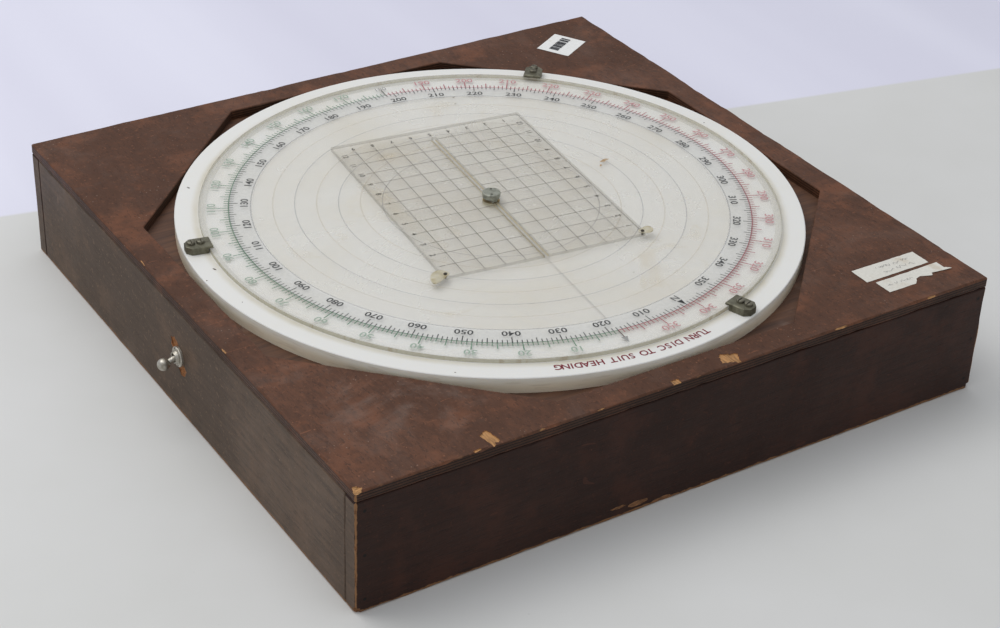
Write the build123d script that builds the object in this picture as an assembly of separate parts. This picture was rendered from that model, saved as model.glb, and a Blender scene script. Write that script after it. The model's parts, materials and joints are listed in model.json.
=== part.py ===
"""Illuminated radar plotting board: a plywood light box with a turning dial on top.

Millimetres, +Z up.  The origin is the middle of the underside, on the table.  +Y is the
far side of the board, where the ship's heading is read, and +X is the side with the switch.
"""
from build123d import *
import os
from math import cos, radians, sin, tan

# ---------------------------------------------------------------- driving dimensions
BOX_SIDE = 406.4            # 16 in square
BOX_HEIGHT = 74.4
WALL = 10.4                 # side boards
TOP_PLY = 6.4
SHELF_PLY = 6.4
BOTTOM_PLY = 5.0
OCTAGON_FLATS = 371.2       # octagonal well, across flats
LIGHT_HOLE_R = 160.0        # hole in the shelf under the dial

BASE_DISC_R = 183.4
BASE_DISC_PROUD = 2.8       # height of the base disc above the top panel
PLOT_DISC_R = 169.6
PLOT_DISC_T = 2.75
GRID_SQUARE = 12.7          # half-inch squares on the cursor plate
PLATE_COLUMNS = 10
PLATE_ROWS = 13
PLATE_T = 1.95
PLATE_FAR_EDGE = 72.1       # centre of the dial to the plate's far edge
SLOT_WIDTH = 3.2
SLOT_END = -82.0            # closed end of the slot, from the centre of the dial

BASE_TURN = -5.9            # how far the dial is turned in its well (minus is clockwise)
PLATE_TURN = -6.3           # how far the cursor plate is turned
CLIP_BEARINGS = (95.3, 215.3, 335.3)   # clips, clockwise from the dial's heading mark

SWITCH_Y = 4.8              # switch centre on the right board
SWITCH_Z = 38.5
LEVER_TILT = 15.0           # lever below horizontal when it is down
INLET_Y = 90.0              # cable inlet on the left board
INLET_R = 3.5
LAMP_X = 80.0               # lamps either side of the centre
GAP = 0.05                  # running gap between sliding faces

# ---------------------------------------------------------------- levels and spans
HALF = BOX_SIDE / 2
WALL_TOP = BOX_HEIGHT - TOP_PLY
SHELF_BOTTOM = WALL_TOP - SHELF_PLY
INSIDE = BOX_SIDE - 2 * WALL
BASE_TOP = BOX_HEIGHT + BASE_DISC_PROUD
PLOT_BOTTOM = BASE_TOP + GAP
PLOT_TOP = PLOT_BOTTOM + PLOT_DISC_T
PLATE_BOTTOM = PLOT_TOP + GAP
PLATE_TOP = PLATE_BOTTOM + PLATE_T
PLATE_WIDTH = PLATE_COLUMNS * GRID_SQUARE
PLATE_LENGTH = PLATE_ROWS * GRID_SQUARE

# corner fastenings: three nails through each end of the front and rear boards
NAIL_R = 1.1
NAIL_HEAD_R = 1.9
NAIL_HEAD_T = 0.8
NAIL_LENGTH = 36.0
NAIL_LEVELS = (8.0, 35.0, 62.0)
# screws up through the bottom panel
WOOD_SCREW_R = 1.6
WOOD_SCREW_HEAD_R = 3.4
WOOD_SCREW_LENGTH = 18.0
WOOD_SCREW_HEAD_T = 2.4
BATTEN = 12.0
CORNER_BLOCK = 22.0
# lamps and terminal block
HOLDER_R = 19.0
HOLDER_FOOT_TOP = BOTTOM_PLY + 7.0
HOLDER_TOWER_R = 11.5
HOLDER_TOP = 24.0
HOLDER_SCREW_Y = 15.0
SOCKET_R = 8.0
BULB_CAP_R = 7.4
BULB_R = 13.0
BULB_CENTRE = 46.0
TERMINAL_X = -145.0
TERMINAL_Y = 40.0
TERMINAL_WAYS = (-11.0, 0.0, 11.0)
TERMINAL_BARRIERS = (-16.7, -5.5, 5.5, 16.7)
# dial fastenings
STUD_R = 5.0
STUD_FLANGE_R = 14.0
STUD_FLANGE_T = 2.4
SHANK_R = 1.5
MACHINE_SCREW_R = 1.2
CLIP_WIDTH = 11.0
CLIP_INNER_R = 167.6
CLIP_OUTER_R = 182.4
CLIP_LIP_T = 1.6
CLIP_SCREW_RADII = (173.6, 179.0)
CLIP_LIFT = 0.15            # clearance between the plotting disc and a clip's lip
STUD_SCREW_CIRCLE_R = 9.5
STUD_SCREW_BEARINGS = (30, 150, 270)
WASHER_R = 5.2
WASHER_T = 0.8
CLAMP_HEAD_R = 5.4
CLAMP_HEAD_T = 2.5
CLAMP_TURN = -28.0          # where the screw head's two holes have come to rest
# celluloid tabs at the far corners of the cursor plate
TAB_T = 0.5
TAB_PIN_R = 0.7
TAB_PIN_X = PLATE_WIDTH / 2 - 1.6
TAB_PIN_Y = PLATE_FAR_EDGE - 2.0
# outlines of the tabs, from the pin
RIGHT_TAB = ((-2.4, 0.5), (3.2, 4.4), (9.8, 6.6), (9.6, 1.6), (4.8, -4.4), (0.4, -4.6))
LEFT_TAB = ((2.2, 0.4), (-1.6, 2.8), (-6.4, 1.2), (-6.0, -3.6), (-0.8, -2.9))
# switch
BUSHING_R = 4.0
PIVOT_OUT = 0.8             # lever pivot beyond the board's face
MOUTH_OUT = 3.6             # end of the bushing's cone beyond the board's face
MOUTH_R = 3.2
BALL_R = 3.6
BALL_REACH = 9.0            # pivot to ball centre
NECK_R = 1.9                # lever at its pivot
NECK_TIP_R = 1.5            # lever where it meets the ball
PIN_R = 0.6
PIN_LENGTH = 7.0
RING_NUT_R = 6.0
RING_NUT_T = 1.8
BACK_NUT_T = 2.0
POCKET_FLOOR = 5.7          # wood left in front of the switch pocket
SWITCH_BODY_LENGTH = 22.0
SWITCH_BODY_HALF_Y = 14.0
SWITCH_BODY_HALF_Z = 9.0
SWITCH_TAB_LENGTH = 8.0
SWITCH_TAB_Y = 7.0          # terminals either side of the switch axis
SWITCH_BODY_X1 = HALF - POCKET_FLOOR - BACK_NUT_T
SWITCH_BODY_X0 = SWITCH_BODY_X1 - SWITCH_BODY_LENGTH
SWITCH_TAB_X0 = SWITCH_BODY_X0 - SWITCH_TAB_LENGTH
PIVOT_X = HALF + PIVOT_OUT
MOUTH_X = HALF + MOUTH_OUT
# wiring
WIRE_R = 1.2
WIRE_Z = BOTTOM_PLY + WIRE_R + 0.1
WIRE_RISE_X = 148.0         # where the wires climb to the switch
WIRE_FAR_Y = 118.0          # the supply wire's run behind the lamps
# papers on the top: x0, x1, y0, y1
PAPER_T = 0.2
FAR_LABEL = (-188.4, -142.9, 176.2, 188.4)
NEAR_LABEL = (-184.9, -138.8, 160.1, 174.1)
STICKER_AT = (-163.0, -169.3)
STICKER_SIZE = (28.0, 24.0)
STICKER_TURN = 30.0


def cylinder(radius, low, high, x=0.0, y=0.0):
    """Upright cylinder between two levels."""
    return Pos(x, y, (low + high) / 2) * Cylinder(radius, high - low)


def block(x0, x1, y0, y1, z0, z1):
    """Box between two corners."""
    return Pos((x0 + x1) / 2, (y0 + y1) / 2, (z0 + z1) / 2) * Box(x1 - x0, y1 - y0, z1 - z0)


def cone_between(low_radius, high_radius, low, high, x=0.0, y=0.0):
    """Upright cone between two levels."""
    return Pos(x, y, (low + high) / 2) * Cone(low_radius, high_radius, high - low)


def along_x(shape):
    """Lay a shape built along +Z so that it runs along +X."""
    return Rot(0, 90, 0) * shape


def group(solids):
    """Separate solids kept together in one node."""
    return Compound(children=list(solids))


def save(name, shape):
    export_step(shape, os.path.join("parts", name + ".step"))


# ---------------------------------------------------------------- the case
def nail_places():
    """Nail axes: x, the outer y face, and the direction into the wood."""
    x = HALF - WALL / 2
    return [(sx * x, sy * HALF, -sy, z) for sx in (-1, 1) for sy in (-1, 1) for z in NAIL_LEVELS]


def nail(x, y, inward, z):
    """One flat-headed nail, its head flush with the board."""
    shank = cylinder(NAIL_R, NAIL_HEAD_T, NAIL_LENGTH)
    head = cylinder(NAIL_HEAD_R, 0, NAIL_HEAD_T)
    return Pos(x, y, z) * Rot(90 if inward < 0 else -90, 0, 0) * (head + shank)


def nails():
    return [nail(*place) for place in nail_places()]


def side_board(x0, x1, y0, y1):
    board = block(x0, x1, y0, y1, 0, WALL_TOP)
    for each in nails():
        board -= each
    return board


def front_board():
    return side_board(-HALF, HALF, -HALF, -HALF + WALL)


def rear_board():
    return side_board(-HALF, HALF, HALF - WALL, HALF)


def left_board():
    """Board with the cable inlet hole."""
    board = side_board(-HALF, -HALF + WALL, -HALF + WALL, HALF - WALL)
    hole = Pos(-HALF, INLET_Y, SWITCH_Z) * along_x(Cylinder(INLET_R + 2.5, 4 * WALL))
    return board - hole


def right_board():
    """Board with the switch hole and a pocket behind it for the switch body."""
    board = side_board(HALF - WALL, HALF, -HALF + WALL, HALF - WALL)
    hole = Pos(HALF, SWITCH_Y, SWITCH_Z) * along_x(Cylinder(BUSHING_R, 4 * WALL))
    pocket = block(HALF - WALL - 1, HALF - POCKET_FLOOR, SWITCH_Y - 17, SWITCH_Y + 17,
                   SWITCH_Z - 12, SWITCH_Z + 12)
    return board - hole - pocket


def octagon(across_flats, low, high):
    """Upright octagonal prism with flats square to the box."""
    circumradius = across_flats / 2 / cos(radians(22.5))
    outline = RegularPolygon(circumradius, 8, rotation=22.5)
    return Pos(0, 0, low) * extrude(outline, high - low)


def top_panel():
    """Plywood top with the octagonal well for the dial."""
    panel = block(-HALF, HALF, -HALF, HALF, WALL_TOP, BOX_HEIGHT)
    return panel - octagon(OCTAGON_FLATS, WALL_TOP - 1, BOX_HEIGHT + 1)


def recess_shelf():
    """Shelf that the dial lies on, with the hole that lets the light up."""
    half = INSIDE / 2
    shelf = block(-half, half, -half, half, SHELF_BOTTOM, WALL_TOP)
    return shelf - cylinder(LIGHT_HOLE_R, SHELF_BOTTOM - 1, WALL_TOP + 1)


def bottom_screw_places():
    """Two screws along each side, into the lower battens."""
    inset = INSIDE / 2 - BATTEN / 2
    offset = INSIDE / 4
    return ([(x, y) for x in (-offset, offset) for y in (-inset, inset)]
            + [(x, y) for x in (-inset, inset) for y in (-offset, offset)])


def wood_screw(x, y):
    """Countersunk wood screw driven upwards, slotted, flush with the underside."""
    head = cone_between(WOOD_SCREW_HEAD_R, WOOD_SCREW_R, 0, WOOD_SCREW_HEAD_T, x, y)
    shank = cylinder(WOOD_SCREW_R, WOOD_SCREW_HEAD_T, WOOD_SCREW_LENGTH - 3, x, y)
    point = cone_between(WOOD_SCREW_R, 0.3, WOOD_SCREW_LENGTH - 3, WOOD_SCREW_LENGTH, x, y)
    slot = block(x - WOOD_SCREW_HEAD_R, x + WOOD_SCREW_HEAD_R, y - 0.4, y + 0.4, -1, 0.9)
    return head + shank + point - slot


def wood_screw_hole(x, y):
    """Clearance for one wood screw, slot ignored."""
    return (cone_between(WOOD_SCREW_HEAD_R, WOOD_SCREW_R, 0, WOOD_SCREW_HEAD_T, x, y)
            + cylinder(WOOD_SCREW_R, WOOD_SCREW_HEAD_T, WOOD_SCREW_LENGTH, x, y))


def bottom_panel():
    half = INSIDE / 2
    panel = block(-half, half, -half, half, 0, BOTTOM_PLY)
    for place in bottom_screw_places():
        panel -= wood_screw_hole(*place)
    return panel


def corner_blocks():
    """A glued block in each inner corner, from the bottom panel up to the shelf."""
    edge = INSIDE / 2
    near = edge - CORNER_BLOCK
    posts = []
    for sx in (-1, 1):
        for sy in (-1, 1):
            x0, x1 = sorted((sx * near, sx * edge))
            y0, y1 = sorted((sy * near, sy * edge))
            post = block(x0, x1, y0, y1, BOTTOM_PLY, SHELF_BOTTOM)
            for each in nails():
                post -= each
            posts.append(post)
    return group(posts)


def batten_ring(low):
    """Four battens against the walls, between the corner blocks."""
    reach = INSIDE / 2 - CORNER_BLOCK
    outer = INSIDE / 2
    inner = outer - BATTEN
    high = low + BATTEN
    return [block(-reach, reach, inner, outer, low, high),
            block(-reach, reach, -outer, -inner, low, high),
            block(inner, outer, -reach, reach, low, high),
            block(-outer, -inner, -reach, reach, low, high)]


def bottom_battens():
    battens = []
    for batten in batten_ring(BOTTOM_PLY):
        for place in bottom_screw_places():
            batten -= wood_screw_hole(*place)
        battens.append(batten)
    return group(battens)


def shelf_battens():
    return group(batten_ring(SHELF_BOTTOM - BATTEN))


def inlet_grommet():
    """Rubber grommet that lines the cable inlet."""
    body = Cylinder(INLET_R + 2.5, WALL)
    lip_out = Pos(0, 0, -WALL / 2 - 0.9) * Cylinder(INLET_R + 5, 1.8)
    lip_in = Pos(0, 0, WALL / 2 + 0.9) * Cylinder(INLET_R + 5, 1.8)
    lip_out = fillet(lip_out.edges().group_by(Axis.Z)[0], 0.8)
    solid = body + lip_out + lip_in - Cylinder(INLET_R, 3 * WALL)
    return Pos(-HALF + WALL / 2, INLET_Y, SWITCH_Z) * along_x(solid)


# ---------------------------------------------------------------- lamps and wiring
def holder_screw_places(x):
    return [(x, HOLDER_SCREW_Y), (x, -HOLDER_SCREW_Y)]


def lamp_holder(x):
    """Moulded batten holder: a round foot and a stepped tower bored for the socket."""
    foot = cylinder(HOLDER_R, BOTTOM_PLY, HOLDER_FOOT_TOP, x)
    foot = fillet(foot.edges().sort_by(Axis.Z)[-1], 2.0)
    tower = cylinder(HOLDER_TOWER_R, HOLDER_FOOT_TOP, HOLDER_TOP, x)
    holder = foot + tower - cylinder(SOCKET_R, HOLDER_TOP - 9, HOLDER_TOP + 1, x)
    for place in holder_screw_places(x):
        holder -= cylinder(MACHINE_SCREW_R, BOTTOM_PLY - 1, HOLDER_FOOT_TOP + 1, *place)
    return holder


def lamp_socket(x):
    """Brass socket shell with a rolled lip."""
    outer = cylinder(SOCKET_R, HOLDER_TOP - 9, HOLDER_TOP + 7, x)
    lip = cylinder(SOCKET_R + 0.7, HOLDER_TOP + 5.8, HOLDER_TOP + 7, x)
    return outer + lip - cylinder(BULB_CAP_R, HOLDER_TOP - 8, HOLDER_TOP + 8, x)


def bulb_cap(x):
    shell = cylinder(BULB_CAP_R, HOLDER_TOP - 6.5, HOLDER_TOP + 8.5, x)
    contact = cone_between(2.2, 3.6, HOLDER_TOP - 8, HOLDER_TOP - 6.5, x)
    return shell + contact


def bulb_glass(x):
    """Round lamp envelope on a short neck."""
    neck = cylinder(BULB_CAP_R - 0.6, HOLDER_TOP + 8.5, BULB_CENTRE, x)
    return neck + Pos(x, 0, BULB_CENTRE) * Sphere(BULB_R)


def round_head_screw(x, y, seat, length):
    """Slotted round-headed screw standing on its seat."""
    head = cylinder(2.3, seat, seat + 1.7, x, y)
    head = fillet(head.edges().sort_by(Axis.Z)[-1], 0.7)
    shank = cylinder(MACHINE_SCREW_R, seat - length, seat, x, y)
    slot = block(x - 3, x + 3, y - 0.35, y + 0.35, seat + 0.9, seat + 3)
    return head + shank - slot


def holder_screws():
    return group([round_head_screw(px, py, HOLDER_FOOT_TOP, 6.9)
                  for x in (-LAMP_X, LAMP_X) for px, py in holder_screw_places(x)])


def terminal_block():
    """Three-way moulded terminal block with barriers between the ways."""
    body = block(TERMINAL_X - 18, TERMINAL_X + 18, TERMINAL_Y - 10, TERMINAL_Y + 10,
                 BOTTOM_PLY, BOTTOM_PLY + 8)
    for dx in TERMINAL_BARRIERS:
        body += block(TERMINAL_X + dx - 1.2, TERMINAL_X + dx + 1.2,
                      TERMINAL_Y - 10, TERMINAL_Y + 10, BOTTOM_PLY + 8, BOTTOM_PLY + 13)
    for dx in TERMINAL_WAYS:
        body -= cylinder(MACHINE_SCREW_R, BOTTOM_PLY + 1, BOTTOM_PLY + 9, TERMINAL_X + dx, TERMINAL_Y)
    return body


def terminal_screws():
    return group([round_head_screw(TERMINAL_X + dx, TERMINAL_Y, BOTTOM_PLY + 8, 6.5)
                  for dx in TERMINAL_WAYS])


def wire(points, radii):
    """Insulated wire swept along straight runs joined by arcs."""
    path = FilletPolyline(*points, radius=radii)
    return sweep(Plane(path @ 0, z_dir=path % 0) * Circle(WIRE_R), path=path)


def supply_wire():
    """Terminal block round to the far switch terminal."""
    y = SWITCH_Y + SWITCH_TAB_Y
    return wire([(TERMINAL_X, TERMINAL_Y + 10, WIRE_Z), (TERMINAL_X, WIRE_FAR_Y, WIRE_Z),
                 (90, WIRE_FAR_Y, WIRE_Z), (WIRE_RISE_X, y + 42, WIRE_Z), (WIRE_RISE_X, y, WIRE_Z),
                 (WIRE_RISE_X, y, SWITCH_Z), (SWITCH_TAB_X0, y, SWITCH_Z)], [40, 40, 26, 12, 8])


def switched_wire():
    """Near switch terminal down and along to the right lamp."""
    y = SWITCH_Y - SWITCH_TAB_Y
    return wire([(SWITCH_TAB_X0, y, SWITCH_Z), (WIRE_RISE_X, y, SWITCH_Z), (WIRE_RISE_X, y, WIRE_Z),
                 (LAMP_X + HOLDER_R, y, WIRE_Z)], [8, 12])


def link_wire():
    """Straight link between the two lamp holders."""
    length = 2 * (LAMP_X - HOLDER_R)
    return Pos(0, 0, WIRE_Z) * along_x(Cylinder(WIRE_R, length))


def return_wire():
    """Left lamp back to the terminal block."""
    return wire([(-LAMP_X - HOLDER_R, 0, WIRE_Z), (TERMINAL_X, 0, WIRE_Z),
                 (TERMINAL_X, TERMINAL_Y - 10, WIRE_Z)], [20])


# ---------------------------------------------------------------- the switch
def at_switch(shape, x=0.0):
    """Lay a shape built along +Z onto the switch axis, pointing outwards from x."""
    return Pos(x, SWITCH_Y, SWITCH_Z) * along_x(shape)


def switch_body():
    """Moulded toggle-switch body behind the right board."""
    body = block(SWITCH_BODY_X0, SWITCH_BODY_X1,
                 SWITCH_Y - SWITCH_BODY_HALF_Y, SWITCH_Y + SWITCH_BODY_HALF_Y,
                 SWITCH_Z - SWITCH_BODY_HALF_Z, SWITCH_Z + SWITCH_BODY_HALF_Z)
    body = fillet(body.edges().filter_by(Axis.X), 1.5)
    return body - at_switch(Cylinder(BUSHING_R, 16), SWITCH_BODY_X1)


def switch_terminals():
    tabs = [block(SWITCH_TAB_X0, SWITCH_BODY_X0, SWITCH_Y + s * SWITCH_TAB_Y - 3,
                  SWITCH_Y + s * SWITCH_TAB_Y + 3, SWITCH_Z - 0.4, SWITCH_Z + 0.4) for s in (-1, 1)]
    return group(tabs)


def switch_bushing():
    """Threaded sleeve with a conical nose, bored to let the lever swing."""
    start = SWITCH_BODY_X1 - 8
    sleeve = at_switch(cylinder(BUSHING_R, 0, HALF + 2.0 - start), start)
    nose = at_switch(cone_between(BUSHING_R, MOUTH_R, 0, MOUTH_X - HALF - 2.0), HALF + 2.0)
    rear_bore = at_switch(cylinder(3.0, -1, PIVOT_X - start), start)
    front_bore = at_switch(cone_between(2.05, 2.7, 0, MOUTH_X - PIVOT_X + 0.01), PIVOT_X)
    return sleeve + nose - rear_bore - front_bore - switch_pivot_pin()


def switch_pivot_pin():
    return Pos(PIVOT_X, SWITCH_Y, SWITCH_Z) * Rot(90, 0, 0) * Cylinder(PIN_R, PIN_LENGTH)


def switch_ring_nut():
    """Round face nut with two spanner holes."""
    ring = fillet(cylinder(RING_NUT_R, 0, RING_NUT_T).edges().sort_by(Axis.Z)[-1], 0.7)
    ring -= cylinder(BUSHING_R, -1, 3)
    for turn in (20, 200):
        ring -= Rot(0, 0, turn) * cylinder(0.65, 0.5, 3, 5.0)
    return at_switch(ring, HALF)


def switch_back_nut():
    """Hexagon nut between the switch body and the board."""
    nut = extrude(RegularPolygon(6.6, 6), BACK_NUT_T) - cylinder(BUSHING_R, -1, 3)
    return at_switch(nut, SWITCH_BODY_X1)


def switch_lever():
    """Ball-ended lever on its cross pin, down at rest."""
    neck = cone_between(NECK_R, NECK_TIP_R, 0, BALL_REACH - 2)
    knuckle = Sphere(NECK_R)
    tail = cylinder(1.05, -5.5, 0)
    ball = Pos(0, 0, BALL_REACH) * Sphere(BALL_R)
    pin_hole = Rot(90, 0, 0) * Cylinder(PIN_R + GAP, 8)
    lever = neck + knuckle + tail + ball - pin_hole
    return Pos(PIVOT_X, SWITCH_Y, SWITCH_Z) * Rot(0, LEVER_TILT, 0) * along_x(lever)


# ---------------------------------------------------------------- the dial
def at_bearing(shape, bearing):
    """Turn a shape built on +Y clockwise to a bearing on the turned dial."""
    return Rot(0, 0, BASE_TURN - bearing) * shape


def stud_screw_hole(x, y):
    return (cone_between(2.6, MACHINE_SCREW_R, WALL_TOP, WALL_TOP + 1.5, x, y)
            + cylinder(MACHINE_SCREW_R, WALL_TOP, WALL_TOP + 7, x, y))


def stud_screw_places():
    angles = [radians(bearing) for bearing in STUD_SCREW_BEARINGS]
    return [(STUD_SCREW_CIRCLE_R * sin(a), STUD_SCREW_CIRCLE_R * cos(a)) for a in angles]


def base_disc():
    """Opal acrylic disc with the relative-bearing scale; it lies in the well."""
    disc = cylinder(BASE_DISC_R, WALL_TOP, BASE_TOP)
    disc = chamfer(disc.edges().sort_by(Axis.Z)[-1], 0.4)
    disc -= cylinder(STUD_FLANGE_R, WALL_TOP - 1, WALL_TOP + STUD_FLANGE_T)
    disc -= cylinder(STUD_R, WALL_TOP, BASE_TOP + 1)
    for place in stud_screw_places():
        disc -= stud_screw_hole(*place)
    for bearing in CLIP_BEARINGS:
        for radius in CLIP_SCREW_RADII:
            hole = cylinder(MACHINE_SCREW_R, BASE_TOP - 6, BASE_TOP + 1, 0, radius)
            disc -= at_bearing(hole, bearing)
    return disc


def pivot_stud():
    """Flanged brass stud: the centre of the dial, tapped for the clamp screw."""
    stud = cylinder(STUD_FLANGE_R, WALL_TOP, WALL_TOP + STUD_FLANGE_T)
    stud += cylinder(STUD_R, WALL_TOP, PLOT_TOP - GAP)
    stud -= cylinder(SHANK_R + GAP, WALL_TOP + 3, BASE_TOP + 10)
    for place in stud_screw_places():
        stud -= stud_screw_hole(*place)
    return stud


def stud_screws():
    """Countersunk screws that hold the stud's flange to the disc."""
    screws = []
    for x, y in stud_screw_places():
        screw = (cone_between(2.6, MACHINE_SCREW_R, WALL_TOP, WALL_TOP + 1.5, x, y)
                 + cylinder(MACHINE_SCREW_R, WALL_TOP + 1.5, WALL_TOP + 7, x, y))
        screws.append(screw - block(x - 3, x + 3, y - 0.3, y + 0.3, WALL_TOP - 1, WALL_TOP + 0.6))
    return group(screws)


def plotting_disc():
    """Clear matt disc with the compass scale; it turns on the stud under the clips."""
    disc = cylinder(PLOT_DISC_R, PLOT_BOTTOM, PLOT_TOP)
    disc = chamfer(disc.edges().sort_by(Axis.Z)[-1], 0.35)
    return disc - cylinder(STUD_R + 0.08, PLOT_BOTTOM - 1, PLOT_TOP + 1)


def clip(bearing):
    """Brass keeper: a foot screwed to the base disc and a lip over the plotting disc."""
    lip_bottom = PLOT_TOP + CLIP_LIFT
    top = lip_bottom + CLIP_LIP_T
    half = CLIP_WIDTH / 2
    keeper = block(-half, half, CLIP_INNER_R, CLIP_OUTER_R, BASE_TOP, top)
    keeper -= block(-half - 1, half + 1, CLIP_INNER_R - 1, PLOT_DISC_R + 0.6, BASE_TOP - 1, lip_bottom)
    outer_edges = keeper.edges().filter_by(Axis.Z).group_by(Axis.Y)[-1]
    keeper = chamfer(outer_edges, 3.0)
    keeper = chamfer(keeper.faces().sort_by(Axis.Z)[-1].edges(), 0.45)
    for radius in CLIP_SCREW_RADII:
        keeper -= cylinder(MACHINE_SCREW_R, BASE_TOP - 1, top + 1, 0, radius)
    return at_bearing(keeper, bearing)


def clip_screws():
    seat = PLOT_TOP + CLIP_LIFT + CLIP_LIP_T
    screws = []
    for bearing in CLIP_BEARINGS:
        for radius in CLIP_SCREW_RADII:
            screws.append(at_bearing(round_head_screw(0, radius, seat, 10.0), bearing))
    return group(screws)


# ---------------------------------------------------------------- the cursor
def cursor_plate():
    """Clear squared plate with a centre slot that opens at its far edge."""
    half = PLATE_WIDTH / 2
    near = PLATE_FAR_EDGE - PLATE_LENGTH
    plate = block(-half, half, near, PLATE_FAR_EDGE, PLATE_BOTTOM, PLATE_TOP)
    plate = fillet(plate.edges().filter_by(Axis.Z), 1.5)
    slot = block(-SLOT_WIDTH / 2, SLOT_WIDTH / 2, SLOT_END + SLOT_WIDTH / 2, PLATE_FAR_EDGE + 1,
                 PLATE_BOTTOM - 1, PLATE_TOP + 1)
    slot += cylinder(SLOT_WIDTH / 2, PLATE_BOTTOM - 1, PLATE_TOP + 1, 0, SLOT_END + SLOT_WIDTH / 2)
    plate -= slot
    for side in (-1, 1):
        plate -= cylinder(TAB_PIN_R, PLATE_BOTTOM - 1, PLATE_TOP + 1, side * TAB_PIN_X, TAB_PIN_Y)
    return Rot(0, 0, PLATE_TURN) * plate


def tab(outline, pin_x):
    """Thin celluloid finger tab round one of the plate's pins."""
    points = [(pin_x + dx, TAB_PIN_Y + dy) for dx, dy in outline]
    leaf = Pos(0, 0, PLATE_TOP) * extrude(make_face(Spline(*points, periodic=True)), TAB_T)
    leaf -= cylinder(TAB_PIN_R, PLATE_TOP - 1, PLATE_TOP + 2, pin_x, TAB_PIN_Y)
    return Rot(0, 0, PLATE_TURN) * leaf


def tab_pins():
    """Small rivets through the tabs and the plate."""
    pins = []
    for side in (-1, 1):
        x = side * TAB_PIN_X
        shank = cylinder(TAB_PIN_R, PLATE_BOTTOM, PLATE_TOP + TAB_T, x, TAB_PIN_Y)
        head = cone_between(1.15, 0.8, PLATE_TOP + TAB_T, PLATE_TOP + TAB_T + 0.5, x, TAB_PIN_Y)
        pins.append(Rot(0, 0, PLATE_TURN) * (shank + head))
    return group(pins)


def tongued_washer():
    """Washer whose two tongues sit in the plate's slot, so that it turns with the plate."""
    low = PLATE_TOP + GAP
    washer = cylinder(WASHER_R, low, low + WASHER_T)
    tongue = block(-SLOT_WIDTH / 2 + GAP, SLOT_WIDTH / 2 - GAP, -4.6, 4.6, PLATE_BOTTOM + 0.5, low)
    washer += tongue
    washer -= cylinder(SHANK_R + 0.06, PLATE_BOTTOM, low + 2)
    return Rot(0, 0, PLATE_TURN) * washer


def clamp_screw():
    """Round head with two spanner holes on a plain shank that runs down into the stud."""
    seat = PLATE_TOP + 2 * GAP + WASHER_T
    head = cylinder(CLAMP_HEAD_R, seat, seat + CLAMP_HEAD_T)
    head = fillet(head.edges().sort_by(Axis.Z)[-1], 0.8)
    screw = head + cylinder(SHANK_R, WALL_TOP + 4, seat)
    for side in (-1, 1):
        screw -= cylinder(0.75, seat + 0.8, seat + 4, 0, side * 3.2)
    return Rot(0, 0, CLAMP_TURN) * screw


# ---------------------------------------------------------------- papers stuck on the top
def paper(x0, x1, y0, y1):
    return block(x0, x1, y0, y1, BOX_HEIGHT, BOX_HEIGHT + PAPER_T)


def paper_sticker():
    """Small square label set askew in the near left corner."""
    place = Pos(*STICKER_AT, BOX_HEIGHT + PAPER_T / 2) * Rot(0, 0, STICKER_TURN)
    return place * Box(*STICKER_SIZE, PAPER_T)


NODES = {
    "front_board": front_board, "rear_board": rear_board, "left_board": left_board,
    "right_board": right_board, "top_panel": top_panel, "recess_shelf": recess_shelf,
    "bottom_panel": bottom_panel, "corner_blocks": corner_blocks,
    "bottom_battens": bottom_battens, "shelf_battens": shelf_battens,
    "corner_nails": lambda: group(nails()),
    "bottom_screws": lambda: group([wood_screw(*place) for place in bottom_screw_places()]),
    "inlet_grommet": inlet_grommet,
    "lamp_holder_left": lambda: lamp_holder(-LAMP_X), "lamp_holder_right": lambda: lamp_holder(LAMP_X),
    "lamp_socket_left": lambda: lamp_socket(-LAMP_X), "lamp_socket_right": lambda: lamp_socket(LAMP_X),
    "bulb_cap_left": lambda: bulb_cap(-LAMP_X), "bulb_cap_right": lambda: bulb_cap(LAMP_X),
    "bulb_glass_left": lambda: bulb_glass(-LAMP_X), "bulb_glass_right": lambda: bulb_glass(LAMP_X),
    "holder_screws": holder_screws, "terminal_block": terminal_block,
    "terminal_screws": terminal_screws, "supply_wire": supply_wire, "switched_wire": switched_wire,
    "link_wire": link_wire, "return_wire": return_wire,
    "switch_body": switch_body, "switch_terminals": switch_terminals,
    "switch_bushing": switch_bushing, "switch_ring_nut": switch_ring_nut,
    "switch_back_nut": switch_back_nut, "switch_pivot_pin": switch_pivot_pin,
    "switch_lever": switch_lever,
    "base_disc": base_disc, "pivot_stud": pivot_stud, "stud_screws": stud_screws,
    "clip_right": lambda: clip(CLIP_BEARINGS[0]), "clip_left": lambda: clip(CLIP_BEARINGS[1]),
    "clip_top": lambda: clip(CLIP_BEARINGS[2]), "clip_screws": clip_screws,
    "plotting_disc": plotting_disc, "cursor_plate": cursor_plate,
    "tab_right": lambda: tab(RIGHT_TAB, TAB_PIN_X), "tab_left": lambda: tab(LEFT_TAB, -TAB_PIN_X),
    "tab_pins": tab_pins,
    "tongued_washer": tongued_washer, "clamp_screw": clamp_screw,
    "label_strip_far": lambda: paper(*FAR_LABEL), "label_strip_near": lambda: paper(*NEAR_LABEL),
    "paper_sticker": paper_sticker,
}

os.makedirs("parts", exist_ok=True)
for node, make in NODES.items():
    save(node, make())
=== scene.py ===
"""Looks for the radar plotting board: worn stained plywood, acrylic dials with their scales,
the squared cursor plate, brass clips, the switch, papers, light and camera.

Metres, in the frame of the CAD: the origin is the middle of the underside, +Z up, +Y far side.
"""
import bmesh
import bpy
import json
import math
import random
from mathutils import Matrix, Vector, noise


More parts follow.
